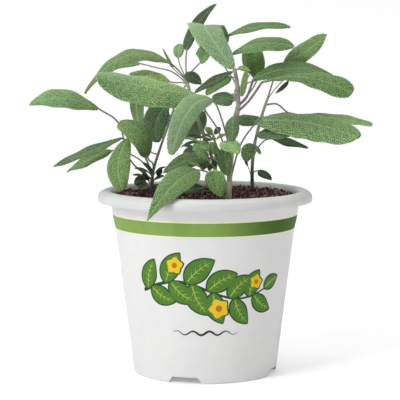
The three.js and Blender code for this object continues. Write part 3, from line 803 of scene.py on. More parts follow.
REAR_LEAVES = (
    Leaf("upper_left_arch", 1, (-18, 14, 164.5), (-39.5, 2, 165.5), (-44.5, 14, 171.5), (-65, 8, 149), -0.1,
         0.75, 0.95, Tone.MID, stalk=Stalk.PURPLE, wither=0.75),
    Leaf("upper_left_under", 0.98, (-36, 34, 164.5), (-43.5, 24, 163), (-46, 34, 166), (-55, 36, 159.5), 0,
         0.9, 0.8, Tone.MID),
    Leaf("upper_left_spike", 0.99, (-17.5, 18, 162.5), (-20.5, 17, 167), (-19.5, 20, 168), (-23, 22, 173),
         0.3, 0.7, 0.8, Tone.MID),
    Leaf("upper_left_short", 0.97, (-19, 14, 155), (-29.5, 7, 157), (-29.5, 18, 161), (-41, 18, 159.5),
         -0.1, 0.7, 0.7, Tone.PALE),
    Leaf("top_dark", 1, (-10, 19, 172), (-8, 31, 186), (-2, 25, 185), (6, 26, 197), 0.1, 0.6, 0.75,
         Tone.SHADE),
    Leaf("small_round", 1, (-14.5, 10, 168), (-17, 10, 172), (-11.5, 9, 172), (-13.5, 12, 175.5), 0.05, 0.5,
         0.45, Tone.SILVER),
    Leaf("top_folded", 1, (-2.5, 5, 165.5), (-4.5, 8, 172), (3, 2, 172), (0.5, 14, 178.5), 0.5, 0.6, 0.7,
         Tone.MID),
    Leaf("small_dark", 1, (-2, 6, 154.5), (-7, 2, 155), (-6, 9, 160.5), (-11, 6, 159), 0.1, 0.6, 0.6,
         Tone.SHADE),
    Leaf("back_left_high", 0.91, (-15, 32, 149), (-32, 38, 145), (-30, 54, 152.5), (-50.8, 62.5, 148.6),
         -0.1, 0.6, 0.55, Tone.DEEP),
    Leaf("back_left_low", 0.66, (-19.5, 30, 132.5), (-30.5, 38, 126.5), (-29, 52, 134.5), (-42, 62, 124.5),
         -0.1, 0.6, 0.55, Tone.DEEP),
    Leaf("back_centre", 0.79, (0, 34, 137.5), (-14, 48, 131.5), (-1.5, 42, 127.5), (-12, 62.5, 123.5), -0.1,
         0.6, 0.55, Tone.DEEP),
    Leaf("back_low", 0.49, (0.5, 32, 116.5), (-10.5, 49, 114), (0.5, 41, 110.5), (-8.5, 62.5, 107.5), -0.1,
         0.6, 0.6, Tone.DEEP),
    leaflet(0.61, (-1, 4, 125.5), (-11, 2, 125), 5, (0, -0.5, 1)),
    leaflet(0.57, (-3, 8, 123), (-13, 6, 120), 2.5, (0, -0.6, 1)),
    leaflet(0.53, (-0.5, 10, 118.5), (-8, 8, 116.5), 2.5, (0, -0.6, 1)),
)
REAR_RIGHT_LEAVES = (
    Leaf("light_slant", 0.98, (14, 12, 157.5), (8.5, 6, 152), (6, 14, 156), (0.5, 6, 148.5), 0.05, 0.6, 0.7,
         Tone.MID),
    Leaf("back_right_high", 1, (33, 39, 156.5), (47.5, 55, 161.7), (42.7, 43, 157.2), (57.2, 63.2, 159.3),
         -0.1, 0.6, 0.55, Tone.MID),
    Leaf("back_right_low", 0.76, (32, 38, 131.5), (50.6, 53, 134.9), (46.3, 41, 128.2), (66.3, 62, 130),
         -0.1, 0.6, 0.55, Tone.MID),
    Leaf("back_top", 1, (9.5, 32, 165), (-3, 42, 175), (9.4, 49, 177), (-0.5, 62, 176), -0.05, 0.6, 0.55,
         Tone.BRIGHT),
    Leaf("back_upright", 1, (25, 38, 159), (21, 49, 168), (29.5, 47, 168.5), (26, 62, 175), 0.05, 0.6, 0.6,
         Tone.DEEP),
    Leaf("back_middle", 0.88, (17, 36, 144), (7.5, 46, 143), (17.3, 50, 147), (10, 63, 144.5), -0.05, 0.6,
         0.55, Tone.MID),
)
MIDDLE_LEAVES = (
    leaflet(1, (4, -7, 128), (0, -10, 131.5), 3.5, (-0.3, -1, 0.6), Tone.YOUNG),
    leaflet(1, (5, -6, 128), (8, -4, 131.5), 3, (0.3, -1, 0.6)),
    leaflet(0.96, (6, -8, 125.5), (11, -10, 128), 3, (0.2, -0.8, 1), Tone.YOUNG),
    leaflet(0.92, (3.5, -8, 125), (-1, -12, 125), 3.5, (-0.2, -0.8, 1)),
    leaflet(0.8, (6.5, -10, 121.5), (1.5, -16, 119), 3.5, (0, -1, 0.7), Tone.MID),
    leaflet(0.76, (5, -9, 119.5), (-3.5, -8, 120), 4.5, (0, -0.7, 1), Tone.PALE),
    leaflet(0.68, (6.5, -10, 115.5), (3.5, -14, 110.5), 3, (0, -1, 0.5)),
    leaflet(0.62, (2, -12, 122.5), (-6.5, -16.5, 120.5), 7, (-0.2, -1, 0.5), Tone.LIT),
    leaflet(0.5, (1, -13, 116.5), (-1.5, -18, 110), 6.2, (-0.2, -1, 0.4), Tone.MID),
    leaflet(0.9, (4, -9, 125.5), (-0.5, -13, 128), 3.5, (-0.3, -0.8, 1)),
    leaflet(0.6, (-3.5, -11, 119.5), (-12, -15, 122.5), 3, (-0.2, -0.8, 1)),
    leaflet(0.8, (-3, -13, 124), (-10.5, -17, 126.5), 3, (-0.2, -0.8, 1), Tone.MID),
    leaflet(0.72, (5, -13, 122), (7.5, -17, 115.5), 3.6, (0.1, -1, 0.4), Tone.DEEP),
    leaflet(0.55, (3.5, -12, 113), (2, -14, 109), 2.6, (-0.1, -1, 0.4), Tone.DEEP),
)

STEMS = (
    Stem("stem_left", radii=(1.2, 0.55), foot_bark="6b5c57", top_bark="817b76", leaves=LEFT_LEAVES,
         route=((-29, 8, 84), (-29, 8, 93), (-28.5, 6, 101.5), (-27.5, 4, 109), (-23.5, 2, 121.5),
                (-19, 0, 134), (-16.5, -2, 141.5))),
    Stem("stem_centre", radii=(1.8, 1.1), foot_bark="9ba672", top_bark="786973", leaves=CENTRE_LEAVES,
         route=((12, -26, 84), (12, -26, 92.5), (12.5, -24, 101), (13, -20, 110), (14.5, -14, 125.5),
                (17, -8, 139.5), (17.5, -6, 148), (16.5, -4, 157.5), (15.5, -4, 162.5))),
    Stem("stem_right", radii=(1.25, 0.75), foot_bark="372c2b", top_bark="929472", leaves=RIGHT_LEAVES,
         route=((25.5, 8, 84), (25.5, 8, 91.5), (25.5, 8, 100), (25.5, 6, 110), (26.5, 5, 121),
                (29.5, 3, 134), (32, 2, 142.5), (33.5, 3, 146.5))),
    Stem("stem_rear", radii=(1.1, 0.8), foot_bark="6e6459", top_bark="8d9a7c", leaves=REAR_LEAVES,
         route=((7, 16, 84), (7, 16, 91.5), (6, 15.5, 104), (2.5, 14, 118), (-2.5, 12, 131), (-6, 10, 142),
                (-8, 10, 149.5), (-9.5, 12, 154.5))),
    Stem("stem_rear_right", radii=(1.2, 0.8), foot_bark="6e6459", top_bark="8d967c",
         leaves=REAR_RIGHT_LEAVES,
         route=((13.5, 22, 84), (13.5, 22, 91.5), (13.5, 22, 106.5), (15.5, 24, 122.5), (18, 26, 138),
                (18.5, 28, 149))),
    Stem("stem_middle", radii=(1, 0.7), foot_bark="8b9a64", top_bark="96a56e", leaves=MIDDLE_LEAVES,
         route=((5, -8, 84), (5, -8, 91.5), (5, -9, 104), (6, -9, 114.5), (5.5, -8, 122.5), (4, -7, 128))),
)


# -------------------- leaves


@dataclass(frozen=True)
class LeafRelief:
    """The sizes of a sage leaf's skin, in millimetres."""

    grid: float = 0.33
    thickness: float = 0.56
    cobble_share: float = 1 / 14
    cobble_least: float = 0.7
    cobble_most: float = 1.2
    cobble_height: float = 0.24
    vein_share: float = 1 / 11
    vein_least: float = 1.6
    vein_most: float = 4.6
    vein_depth: float = 0.16
    rib_depth: float = 0.3
    rib_width: float = 0.45
    scallop_pitch: float = 1.6
    scallop_depth: float = 0.42
    vein_width: float = 0.3
    wave_height: float = 0.34
    wave_least: float = 12.0
    wave_most: float = 19.0
    arch: float = 0.04
    curl: float = 0.32


class Blade:
    """The curved sheet of one leaf, laid as in the part's own source."""

    def __init__(self, plan: Leaf, relief: LeafRelief, seed: int) -> None:
        """Works out the sheet's middle line and the way that it faces.

        Args:
            plan: The leaf's plan.
            relief: The sizes of its relief.
            seed: Which random waves and cobbles it gets.
        """
        self.plan, self.relief = plan, relief
        self.draw = np.random.default_rng(seed)
        self.base, self.tip = np.array(plan.base, float), np.array(plan.tip, float)
        left, right = np.array(plan.left, float), np.array(plan.right, float)
        chord = unit(self.tip - self.base)
        across = right - left
        self.across = unit(across - chord * np.dot(across, chord))
        self.half = np.linalg.norm(across) / 2
        middle = (left + right) / 2 - np.cross(self.across, chord) * plan.fold * self.half
        self.control = 2 * middle - (self.base + self.tip) / 2
        steps = np.linalg.norm(np.diff(self.middle(np.linspace(0, 1, 60)), axis=0), axis=1)
        self.length = float(steps.sum())

    def middle(self, share: Array) -> Array:
        """Points of the middle line at shares of its way from base to tip."""
        t = np.asarray(share, float)[:, None]
        return (1 - t) ** 2 * self.base + 2 * t * (1 - t) * self.control + t * t * self.tip

    def axes(self, share: Array) -> tuple[Array, Array, Array]:
        """The directions along the midrib, to the side and up, at shares of the midrib.

        Args:
            share: Places from the base, 0, to the tip, 1.

        Returns:
            Three unit vectors for each place.
        """
        t = np.asarray(share, float)[:, None]
        along = unit(2 * (1 - t) * (self.control - self.base) + 2 * t * (self.tip - self.control))
        side = unit(self.across - along * (along @ self.across)[:, None])
        angle = -math.radians(self.plan.twist) * (t - 0.5)
        side = side * np.cos(angle) + np.cross(along, side) * np.sin(angle)
        return along, side, np.cross(side, along)

    def reach(self, share: Array) -> Array:
        """Half the blade's width at shares of the midrib.

        Args:
            share: Places from the base, 0, to the tip, 1.

        Returns:
            The half width at each place.
        """
        slow, fast = self.plan.base_taper, self.plan.tip_taper
        widest = slow / (slow + fast)
        t = np.clip(share, 1e-6, 1 - 1e-6)
        shape = (t / widest) ** slow * ((1 - t) / (1 - widest)) ** fast
        return np.maximum(self.half * shape, np.where(share < 0.5, 0.5, 0.22))

    def shell(self) -> tuple[Array, Array, Array, dict[str, Array]]:
        """Makes the blade's closed skin.

        Returns:
            Points, faces of four corners, faces of three corners, and a value for each point by name.
        """
        relief = self.relief
        rows = max(14, round(self.length / relief.grid))
        columns = max(7, round(2 * self.half / relief.grid))
        even = np.linspace(0, 1, rows)
        share = (even + (1 - np.cos(math.pi * even)) / 2) / 2
        u = np.linspace(-1, 1, columns)[None, :]
        reach = self.reach(share)[:, None]
        at, across = share[:, None] * self.length, reach * u
        small = min(1.0, self.half / 5)
        net = 0.5 if self.plan.tone is Tone.SILVER else 1.0
        seed = self.draw.uniform(1, 40)
        cobble, veins, rib = self.pattern(at, across, reach, seed)
        turns = at / self.draw.uniform(relief.wave_least, relief.wave_most)
        wave = np.sin(2 * math.pi * turns + self.draw.uniform(0, 6) + 1.7 * np.sign(u))
        edge = np.abs(u)
        swell = net * relief.cobble_height * (cobble - 0.5) - relief.vein_depth * veins
        lift = reach * (self.plan.fold * edge ** 1.3 + relief.arch * np.sin(math.pi * edge))
        lift = lift + small * (relief.wave_height * u * u * wave - relief.curl * edge ** 6)
        lift = lift + small * (swell * (1 - edge ** 6) - relief.rib_depth * rib)
        scallop = relief.scallop_depth * small * np.abs(np.sin(math.pi * at / relief.scallop_pitch))
        across = across + np.sign(u) * scallop * edge ** 8
        thickness = relief.thickness / 2 * np.sqrt(1 - edge ** 8) * (0.55 + 0.45 * small)
        _, side, up = self.axes(share)
        middle = self.middle(share)[:, None] + side[:, None] * across[..., None]
        top = middle + up[:, None] * (lift + thickness)[..., None]
        below = middle + up[:, None] * (lift - thickness)[..., None]
        rings = np.concatenate([top, below[:, -2:0:-1]], axis=1)
        points, quads, ends = lofted(rings)
        return points, quads, ends, self.values(share, u, 0.6 + (cobble - 0.6) * net, veins, rib)

    def pattern(self, at: Array, across: Array, reach: Array, seed: float) -> tuple[Array, Array, Array]:
        """Lays the net of a sage leaf: its cobbles, its side veins and its midrib.

        Args:
            at: Places along the midrib.
            across: Places across it.
            reach: Half the blade's width at each row.
            seed: Which pattern.

        Returns:
            Three masks from 0 to 1.
        """
        relief = self.relief
        size = min(max(2 * self.half * relief.cobble_share, relief.cobble_least), relief.cobble_most)
        lean = at - 0.55 * np.abs(across)
        cobble = cobbles(lean + 50, across + 30 * np.sign(across) + 60, size, seed)
        pitch = min(max(self.length * relief.vein_share, relief.vein_least), relief.vein_most)
        ahead = np.abs(across) * (0.75 + 0.35 * np.abs(across) / np.maximum(reach, 0.5))
        turn = (at - ahead) / pitch + 0.25 * np.sign(across) + seed
        away = np.abs(np.mod(turn, 1) - 0.5) * pitch * 0.75
        fade = 1 - 0.6 * smoothstep(0.6, 1.0, np.abs(across) / np.maximum(reach, 0.3))
        veins = np.exp(-(away / relief.vein_width) ** 2) * fade
        rib = np.exp(-(across / relief.rib_width) ** 2)
        return cobble, veins, rib

    def values(self, share: Array, u: Array, cobble: Array, veins: Array, rib: Array) -> dict[str, Array]:
        """Gives each point of the skin its tone and masks.

        Args:
            share: Each row's share of the midrib.
            u: Each column's place from -1 to 1.
            cobble: The cobbles' mask.
            veins: The side veins' mask.
            rib: The midrib's mask.

        Returns:
            A value for each point, by attribute name.
        """
        colour = rgb(self.plan.tone.value)
        own = 1 + self.draw.uniform(-0.07, 0.07)
        green = np.array([1 + self.draw.uniform(-0.05, 0.05), 1.0, 1 + self.draw.uniform(-0.06, 0.06)])
        phase, lean = self.draw.uniform(0, 6), self.draw.uniform(-1, 1)
        # Painted light and shade: one half lighter than the other, lighter edges and base; the wave along
        # it is uneven tone.
        shade = 1 + 0.12 * (0.5 - share[:, None]) + 0.05 * np.abs(u)
        shade = shade + 0.09 * np.sin(5.5 * share[:, None] + phase) + 0.11 * lean * np.tanh(2.5 * u)
        tone = colour * own * green * shade[..., None]
        ragged = 0.03 * np.sin(9 * u + 3 * self.half)
        wither = self.plan.wither * smoothstep(0.8, 0.97, share[:, None] + ragged)
        line = np.maximum(np.maximum(rib, 0.5 * veins), 0.75 * smoothstep(0.9, 1.0, np.abs(u)))
        around = {"tone": tone, "vein": line, "pebble": cobble, "wither": wither,
                  "under": np.zeros_like(cobble)}
        result = {}
        for name, top in around.items():
            below = np.ones_like(top) if name == "under" else top
            rings = np.concatenate([top, below[:, -2:0:-1]], axis=1)
            ends = rings[[0, -1]].mean(axis=1)
            result[name] = np.concatenate([rings.reshape(-1, *rings.shape[2:]), ends])
        return result

    def rib_line(self) -> Array:
        """Points along the raised midrib under the blade.

        Returns:
            The line's points.
        """
        share = np.linspace(0.0, 0.93, max(8, round(self.length / 2.5)))
        _, _, up = self.axes(share)
        under = self.relief.thickness / 2 + 0.12
        return self.middle(share) - up * (under * smoothstep(0, 0.08, share))[:, None]


@dataclass(frozen=True)
class LeafFinish:
    """A sage leaf's velvety skin: green above and grey-green with pale veins below, with painted sheen and
    shade.
    """

    vein: str = "9db083"
    below: str = "82956c"
    withered: str = "8a6a45"
    painted_sheen: str = "9fb39a"
    down: str = "b7c7a8"
    sheen: str = "dfe8d5"
    cool: Colour = (0.92, 0.97, 1.08, 1.0)
    warm: Colour = (1.1, 1.05, 0.88, 1.0)

    def material(self) -> Material:
        """Builds the material from the masks that each blade's mesh holds.

        Returns:
            The material.
        """
        made, wire, shader = new_material("sage_leaf")
        tone = wire.value_of("tone", "Color")
        pebble, vein, under = (wire.value_of(name) for name in ("pebble", "vein", "under"))
        uneven = Effects.UNEVEN_TONE.placed_in(wire, Scale=160.0, Contrast=0.9).outputs["Mask"]
        felt = Effects.PALE_DOWN.placed_in(wire, Amount=0.2)
        tint = wire.mix(wire.share(wire.noise(30.0), 0.3, 0.7), self.cool, self.warm)
        lighter = wire.scaled(tone, wire.share(uneven, 0.0, 1.0, 0.8, 1.22))
        mottled = wire.mix(1.0, lighter, tint, "MULTIPLY")
        # Painted shade darkens the net between the cobbles; their tops are paler, partly as down and partly
        # as painted highlight.
        net_shaded = wire.scaled(mottled, wire.share(pebble, 0.05, 0.6, 0.36, 0.92))
        brighter = wire.scaled(mottled, 2.3)
        pale = wire.mix(0.34, brighter, srgb(self.vein))
        crowned = wire.mix(wire.share(pebble, 0.55, 1.0, 0.0, 0.8), net_shaded, pale)
        grey = wire.mix(0.28, mottled, srgb(self.below))
        veined = wire.times(vein, 0.5)
        skin = wire.mix(under, wire.mix(veined, crowned, pale), wire.mix(veined, grey, pale))
        downy = wire.mix(felt.outputs["Mask"], skin, srgb(self.down))
        # Painted sheen: the colour turns pale towards grazing angles.
        facing = wire.node("ShaderNodeLayerWeight", {"Blend": 0.3}).outputs["Facing"]
        grazing = wire.times(wire.math("POWER", facing, 1.6), 0.5)
        with_painted_sheen = wire.mix(grazing, downy, wire.mix(0.45, brighter, srgb(self.painted_sheen)))
        cells = wire.node("ShaderNodeTexVoronoi", {"Vector": wire.place(), "Scale": 2100.0},
                            feature="SMOOTH_F1").outputs["Distance"]
        coarse = wire.bump(wire.math("SUBTRACT", 1.0, cells), 0.15, 0.7)
        wire.dress(shader, {
            "Base Color": wire.mix(wire.value_of("wither"), with_painted_sheen, srgb(self.withered)),
            "Normal": wire.bump(felt.outputs["Height"], 0.05, 0.6, Normal=coarse),
            "Roughness": wire.share(uneven, 0.0, 1.0, 0.66, 0.82), "Specular IOR Level": 0.35,
            "Sheen Weight": 0.12, "Sheen Roughness": 0.5, "Sheen Tint": srgb(self.sheen),
            "Subsurface Weight": 0.12, "Subsurface Radius": (0.6, 1.0, 0.3),
            "Subsurface Scale": 1.2 * MM})
        return made


@dataclass(frozen=True)
class StemFinish:
    """The skin of stems and stalks: streaks, small dark pores, and down on all but old wood."""

    streak: str = "c3cbaa"
    pore: str = "3c3430"
    down: str = "dfe4d3"

    def material(self) -> Material:
        """Builds the material on the bark's own colours.

        Returns:
            The material.
        """
        made, wire, shader = new_material("sage_stem")
        tone = wire.value_of("tone", "Color")
        uneven = Effects.UNEVEN_TONE.placed_in(wire, Scale=420.0, Contrast=2.0)
        mask, height = uneven.outputs["Mask"], wire.split(wire.place())[2]
        amount = wire.share(height, BARE_BELOW, DOWNY_ABOVE, 0.08, 0.5)
        felt = Effects.PALE_DOWN.placed_in(wire, Amount=amount).outputs["Mask"]
        streaked = wire.mix(wire.share(mask, 0.35, 0.95, 0.0, 0.3), tone, srgb(self.streak))
        pored = wire.mix(wire.share(mask, 0.0, 0.45, 0.5, 0.0), streaked, srgb(self.pore))
        wire.dress(shader, {
            "Base Color": wire.mix(felt, pored, srgb(self.down)),
            "Normal": wire.bump(uneven.outputs["Height"], 0.25, 0.7),
            "Roughness": wire.share(felt, 0.0, 0.6, 0.62, 0.85), "Specular IOR Level": 0.35,
            "Sheen Weight": 0.25, "Sheen Roughness": 0.5})
        return made


@dataclass(frozen=True)
class HairFinish:
    """The pale hairs that stand on stems and stalks."""

    colour: str = "dde5d2"
    greener: str = "b4c3a2"

    def material(self) -> Material:
        """Builds the material, uneven from hair to hair.

        Returns:
            The material.
        """
        made, wire, shader = new_material("sage_hair")
        uneven = Effects.UNEVEN_TONE.placed_in(wire, Scale=900.0, Contrast=1.4).outputs["Mask"]
        turned = wire.share(uneven, 0.2, 0.9, 0.0, 0.5)
        wire.dress(shader, {"Base Color": wire.mix(turned, srgb(self.colour), srgb(self.greener)),
                              "Roughness": 0.6, "Sheen Weight": 0.2})
        return made


# -------------------- stems


@dataclass
class Lines:
    """Many separate lines of points, each with a girth and a colour at every point."""

    points: list[Array] = field(default_factory=list)
    girths: list[Array] = field(default_factory=list)
    tones: list[Array] = field(default_factory=list)

    def add(self, points: Array, girth: Array, tone: Array) -> None:
        """Adds one line.

        Args:
            points: Its points.
            girth: Half its width at each point.
            tone: Its colour at each point.
        """
        self.points.append(points)
        self.girths.append(girth)
        self.tones.append(tone)

    def host(self, name: str) -> Object:
        """Makes one object of loose edges, which the tubes follow.

        Args:
            name: The object's name.

        Returns:
            The object.
        """
        mesh = bpy.data.meshes.new(name)
        counts = [len(line) for line in self.points]
        starts = np.concatenate([[0], np.cumsum(counts)[:-1]])
        edges = np.concatenate([np.stack([np.arange(count - 1), np.arange(1, count)], axis=1) + start
                                for start, count in zip(starts, counts)]).astype(np.int32)
        points = np.concatenate(self.points)
        mesh.vertices.add(len(points))
        mesh.vertices.foreach_set("co", (points * MM).astype(np.float32).ravel())
        mesh.edges.add(len(edges))
        mesh.edges.foreach_set("vertices", edges.ravel())
        store(mesh, "girth", np.concatenate(self.girths))
        store(mesh, "tone", np.concatenate(self.tones))
        mesh.update()
        return placed(name, mesh)


def tube_tree(finish: Material) -> NodeTree:
    """Round skins along lines, as thick as each point's girth, with faint lengthwise lumps.

    Args:
        finish: The skins' material.

    Returns:
        The tree.
    """
    inputs = {"Sides": ("Int", 12), "Lump Height": ("Float", 0.1 * MM),
              "Lump Scale": ("Float", 420.0)}
    tree, wire, start, end = new_growth("StemTubes", inputs)
    named = start.outputs
    curve = wire.node("GeometryNodeMeshToCurve", {"Mesh": named["Geometry"]})
    ring = wire.node("GeometryNodeCurvePrimitiveCircle", {"Resolution": named["Sides"], "Radius": MM})
    girth = wire.node("GeometryNodeInputNamedAttribute", {"Name": "girth"}, data_type="FLOAT")
    tube = wire.node("GeometryNodeCurveToMesh",
                       {"Curve": curve, "Profile Curve": ring,
                        "Scale": girth.outputs["Attribute"], "Fill Caps": True})
    noise = wire.node("ShaderNodeTexNoise", {"Scale": named["Lump Scale"], "Detail": 2.0})
    push = wire.times(wire.math("SUBTRACT", noise, 0.5), named["Lump Height"])
    offset = wire.scaled(wire.node("GeometryNodeInputNormal"), push)
    lumpy = wire.node("GeometryNodeSetPosition", {"Geometry": tube, "Offset": offset})
    smooth = wire.node("GeometryNodeSetShadeSmooth", {"Geometry": lumpy})
    wire.deliver(end, smooth, finish)
    return tree


def hair_tree(finish: Material) -> NodeTree:
    """Short tapered hairs about straight on a skin, each its own cone, and few on old wood.

    Args:
        finish: The hairs' material.

    Returns:
        The tree.
    """
    inputs = {"Density": ("Float", 4.0e6), "Length": ("Float", 0.7 * MM),
              "Root Radius": ("Float", 0.035 * MM), "Lean": ("Float", 0.5),
              "Seed": ("Int", 3)}
    tree, wire, start, end = new_growth("Down", inputs)
    named = start.outputs
    height = wire.split(wire.node("GeometryNodeInputPosition"))[2]
    density = wire.times(named["Density"], wire.share(height, BARE_BELOW, DOWNY_ABOVE, 0.25, 1.0))
    spots = wire.node("GeometryNodeDistributePointsOnFaces",
                        {"Mesh": named["Geometry"], "Density": density, "Seed": named["Seed"]})
    hair = wire.node("GeometryNodeMeshCone",
                       {"Vertices": 3, "Radius Bottom": named["Root Radius"], "Radius Top": 0.0,
                        "Depth": named["Length"]}, fill_type="NGON")
    lean = wire.draw((-1.0, -1.0, -3.1), (1.0, 1.0, 3.1), named["Seed"])
    turned = wire.node("FunctionNodeRotateRotation",
                         {"Rotation": spots.outputs["Rotation"],
                          "Rotate By": wire.scaled(lean, named["Lean"])}, rotation_space="LOCAL")
    copies = wire.node("GeometryNodeInstanceOnPoints",
                         {"Points": spots, "Instance": hair,
                          "Rotation": turned, "Scale": wire.draw(0.55, 1.15, 8, "FLOAT")})
    wire.deliver(end, copies, finish)
    return tree


@dataclass
class Plant:
    """The sage: six leafy stems, each of tubes, blades and down."""

    stems: Sequence[Stem]
    relief: LeafRelief = LeafRelief()
    leaf_finish: LeafFinish = LeafFinish()
    stem_finish: StemFinish = StemFinish()
    hair_finish: HairFinish = HairFinish()
    most_triangles: int = 150000
    slimness: float = 0.84
    joint_tone: str = "b9bd98"
    rib_tone: str = "a9b98c"
    joint_length: float = 0.016

    def build(self) -> None:
        """Builds every stem with its leaves."""
        self.skin = self.leaf_finish.material()
        self.tubes = tube_tree(self.stem_finish.material())
        self.down = hair_tree(self.hair_finish.material())
        for number, stem in enumerate(self.stems):
            blades = [Blade(leaf, self.relief, 100 * number + at) for at, leaf in enumerate(stem.leaves)]
            self.grow_leaves(stem, blades)
            self.grow_wood(stem, blades, number)

    def grow_leaves(self, stem: Stem, blades: Sequence[Blade]) -> None:
        """Makes a stem's blades, in as many pieces as keep each of them small enough.

        Args:
            stem: The stem's plan.
            blades: Its blades.
        """
        gathered, total, part = Gathered(), 0, 1
        for blade in blades:
            points, quads, ends, values = blade.shell()
            gathered.add(points, quads, ends, **values)
            total += 2 * len(quads) + len(ends)
            if total > self.most_triangles or blade is blades[-1]:
                piece = gathered.as_object(f"{stem.node}_leaves_{part}", self.skin)
                finished(piece, "sage", stem.node)
                gathered, total, part = Gathered(), 0, part + 1

    def grow_wood(self, stem: Stem, blades: Sequence[Blade], number: int) -> None:
        """Makes a stem's tubes and the hairs on them.

        Args:
            stem: The stem's plan.
            blades: Its blades.
            number: The stem's number, which picks the hairs' places.
        """
        lines = Lines()
        route = through(stem.route, 70)
        share = np.linspace(0, 1, len(route))
        girth = self.slimness * (stem.radii[0] + (stem.radii[1] - stem.radii[0]) * share)
        low, high = rgb(stem.foot_bark), rgb(stem.top_bark)
        risen = smoothstep(0.3, 0.62, share)
        tone = low + (high - low) * risen[:, None]
        ring = np.zeros_like(share)
        for leaf in stem.leaves:
            ring = np.maximum(ring, np.exp(-((share - leaf.joint) / self.joint_length) ** 2))
        pale = rgb(self.joint_tone)
        joints = ring * (0.12 + 0.43 * risen)
        lines.add(route, girth * (1 + 0.16 * ring), tone + (pale - tone) * joints[:, None])
        for blade in blades:
            self.add_stalk(lines, stem, blade, tone)
        wood = grown(f"{stem.node}_wood", lines.host("stem_lines"), self.tubes, Sides=12)
        skin = placed("down_host", wood.data.copy())
        down = grown(f"{stem.node}_down", skin, self.down, Seed=11 + number)
        finished(wood, "sage", stem.node)
        finished(down, "sage", stem.node)

    def add_stalk(self, lines: Lines, stem: Stem, blade: Blade, bark: Array) -> None:
        """Adds one leaf's stalk, which runs on as the raised midrib under its blade.

        Args:
            lines: Where the line goes.
            stem: The stem's plan.
            blade: The leaf's blade.
            bark: The stem's colour from foot to top.
        """
        leaf = blade.plan
        route = np.array(stem.route, float)
        place = leaf.joint * (len(route) - 1)
        start, ahead = smooth_at(route, np.array([place, min(place + 0.02, len(route) - 1.001)]))
        if leaf.joint > 0.995:
            start, ahead = route[-1], route[-1] + (route[-1] - route[-2]) * 0.02
        turns = [np.array(point, float) for point in leaf.by] or self.bend(start, ahead - start, blade)
        way = through([start, *turns, blade.base], 26)
        rib = blade.rib_line()
        points = np.concatenate([way, rib[1:]])
        colour, half = leaf.stalk.value
        half = half * min(1.0, 0.45 + blade.half / 8)
        passed, along = np.linspace(0, 1, len(way)), np.linspace(0, 1, len(rib))[1:]
        girth = np.concatenate([half * (1.25 - 0.3 * smoothstep(0, 0.2, passed)),
                                half * (0.95 - 0.75 * along)])
        own, rib_tone = rgb(colour), rgb(self.rib_tone)
        first = bark[round(leaf.joint * (len(bark) - 1))]
        reached = smoothstep(0, 0.25, passed)[:, None]
        tone = np.concatenate([first + (own - first) * reached,
                               own + (rib_tone - own) * smoothstep(0, 0.3, along)[:, None]])
        lines.add(points, girth, tone)

    def bend(self, start: Array, upwards: Array, blade: Blade) -> list[Array]:
        """Two points of the bend that a stalk without given points takes.

        Args:
            start: Where the stalk leaves its stem.
            upwards: The stem's direction there.
            blade: The leaf's blade.

        Returns:
            The two points.
        """
        away = blade.base - start
        reach, towards = np.linalg.norm(away), unit(away)
        along, _, _ = blade.axes(np.array([0.0]))
        first = start + unit(unit(upwards) + towards) * 0.4 * reach
        last = blade.base - unit(along[0] + 0.6 * towards) * 0.35 * reach
        points = []
        for t in (0.35, 0.7):
            points.append((1 - t) ** 3 * start + 3 * t * (1 - t) ** 2 * first
                          + 3 * t * t * (1 - t) * last + t ** 3 * blade.base)
        return points


# -------------------- pot


@dataclass(frozen=True)
class PlasticFinish:
    """Satin white plastic: faint flow marks, tiny scuffs, compost dust near the soil and painted shade on
    the lip.
    """

    colour: str = "f2f2f0"
    shade: str = "e2e3e3"
    lip_shade_grey: str = "b4b5b4"
    dust: str = "8d7467"

    def material(self) -> Material:
        """Builds the material.

        Returns:
            The material.
        """
        made, wire, shader = new_material("pot_plastic")
        uneven = Effects.UNEVEN_TONE.placed_in(wire, Scale=38.0, Contrast=1.2)
        x, y, height = wire.split(wire.place())
        clean = wire.mix(uneven.outputs["Mask"], srgb(self.shade), srgb(self.colour))
        # Painted shade: the lip and a thin line on the collar just under it are greyed, unevenly.
        lip = wire.share(height, 0.091, 0.0914, 0.0, 0.3)
        painted_lip_shade = wire.times(lip, wire.share(wire.noise(70.0, 4.0), 0.3, 0.7, 0.75, 1.3))
        white = wire.mix(painted_lip_shade, clean, srgb(self.lip_shade_grey))
        across = wire.math("SQRT", wire.math("ADD", wire.times(x, x), wire.times(y, y)))
        inside = wire.share(across, 0.0513, 0.0498)
        above = wire.math("GREATER_THAN", height, 0.0925)
        low = wire.times(wire.share(height, 0.0972, 0.0948), above)
        grains = wire.share(wire.noise(900.0, 4.0), 0.45, 0.68)
        dusty = wire.times(wire.times(wire.times(inside, low), grains), 0.75)
        scuffs = wire.share(wire.noise(260.0, 6.0, Distortion=1.2), 0.52, 0.7)
        skin = wire.bump(wire.noise(1400.0, 3.0), 0.02, 0.5)
        wire.dress(shader, {
            "Base Color": wire.mix(dusty, white, srgb(self.dust)),
            "Roughness": wire.share(scuffs, 0.0, 1.0, 0.36, 0.48),
            "Normal": wire.bump(uneven.outputs["Height"], 0.08, 0.35, Normal=skin),
            "Specular IOR Level": 0.42, "Subsurface Weight": 0.05,
            "Subsurface Radius": (1.0, 0.95, 0.9), "Subsurface Scale": 1.0 * MM})
        return made


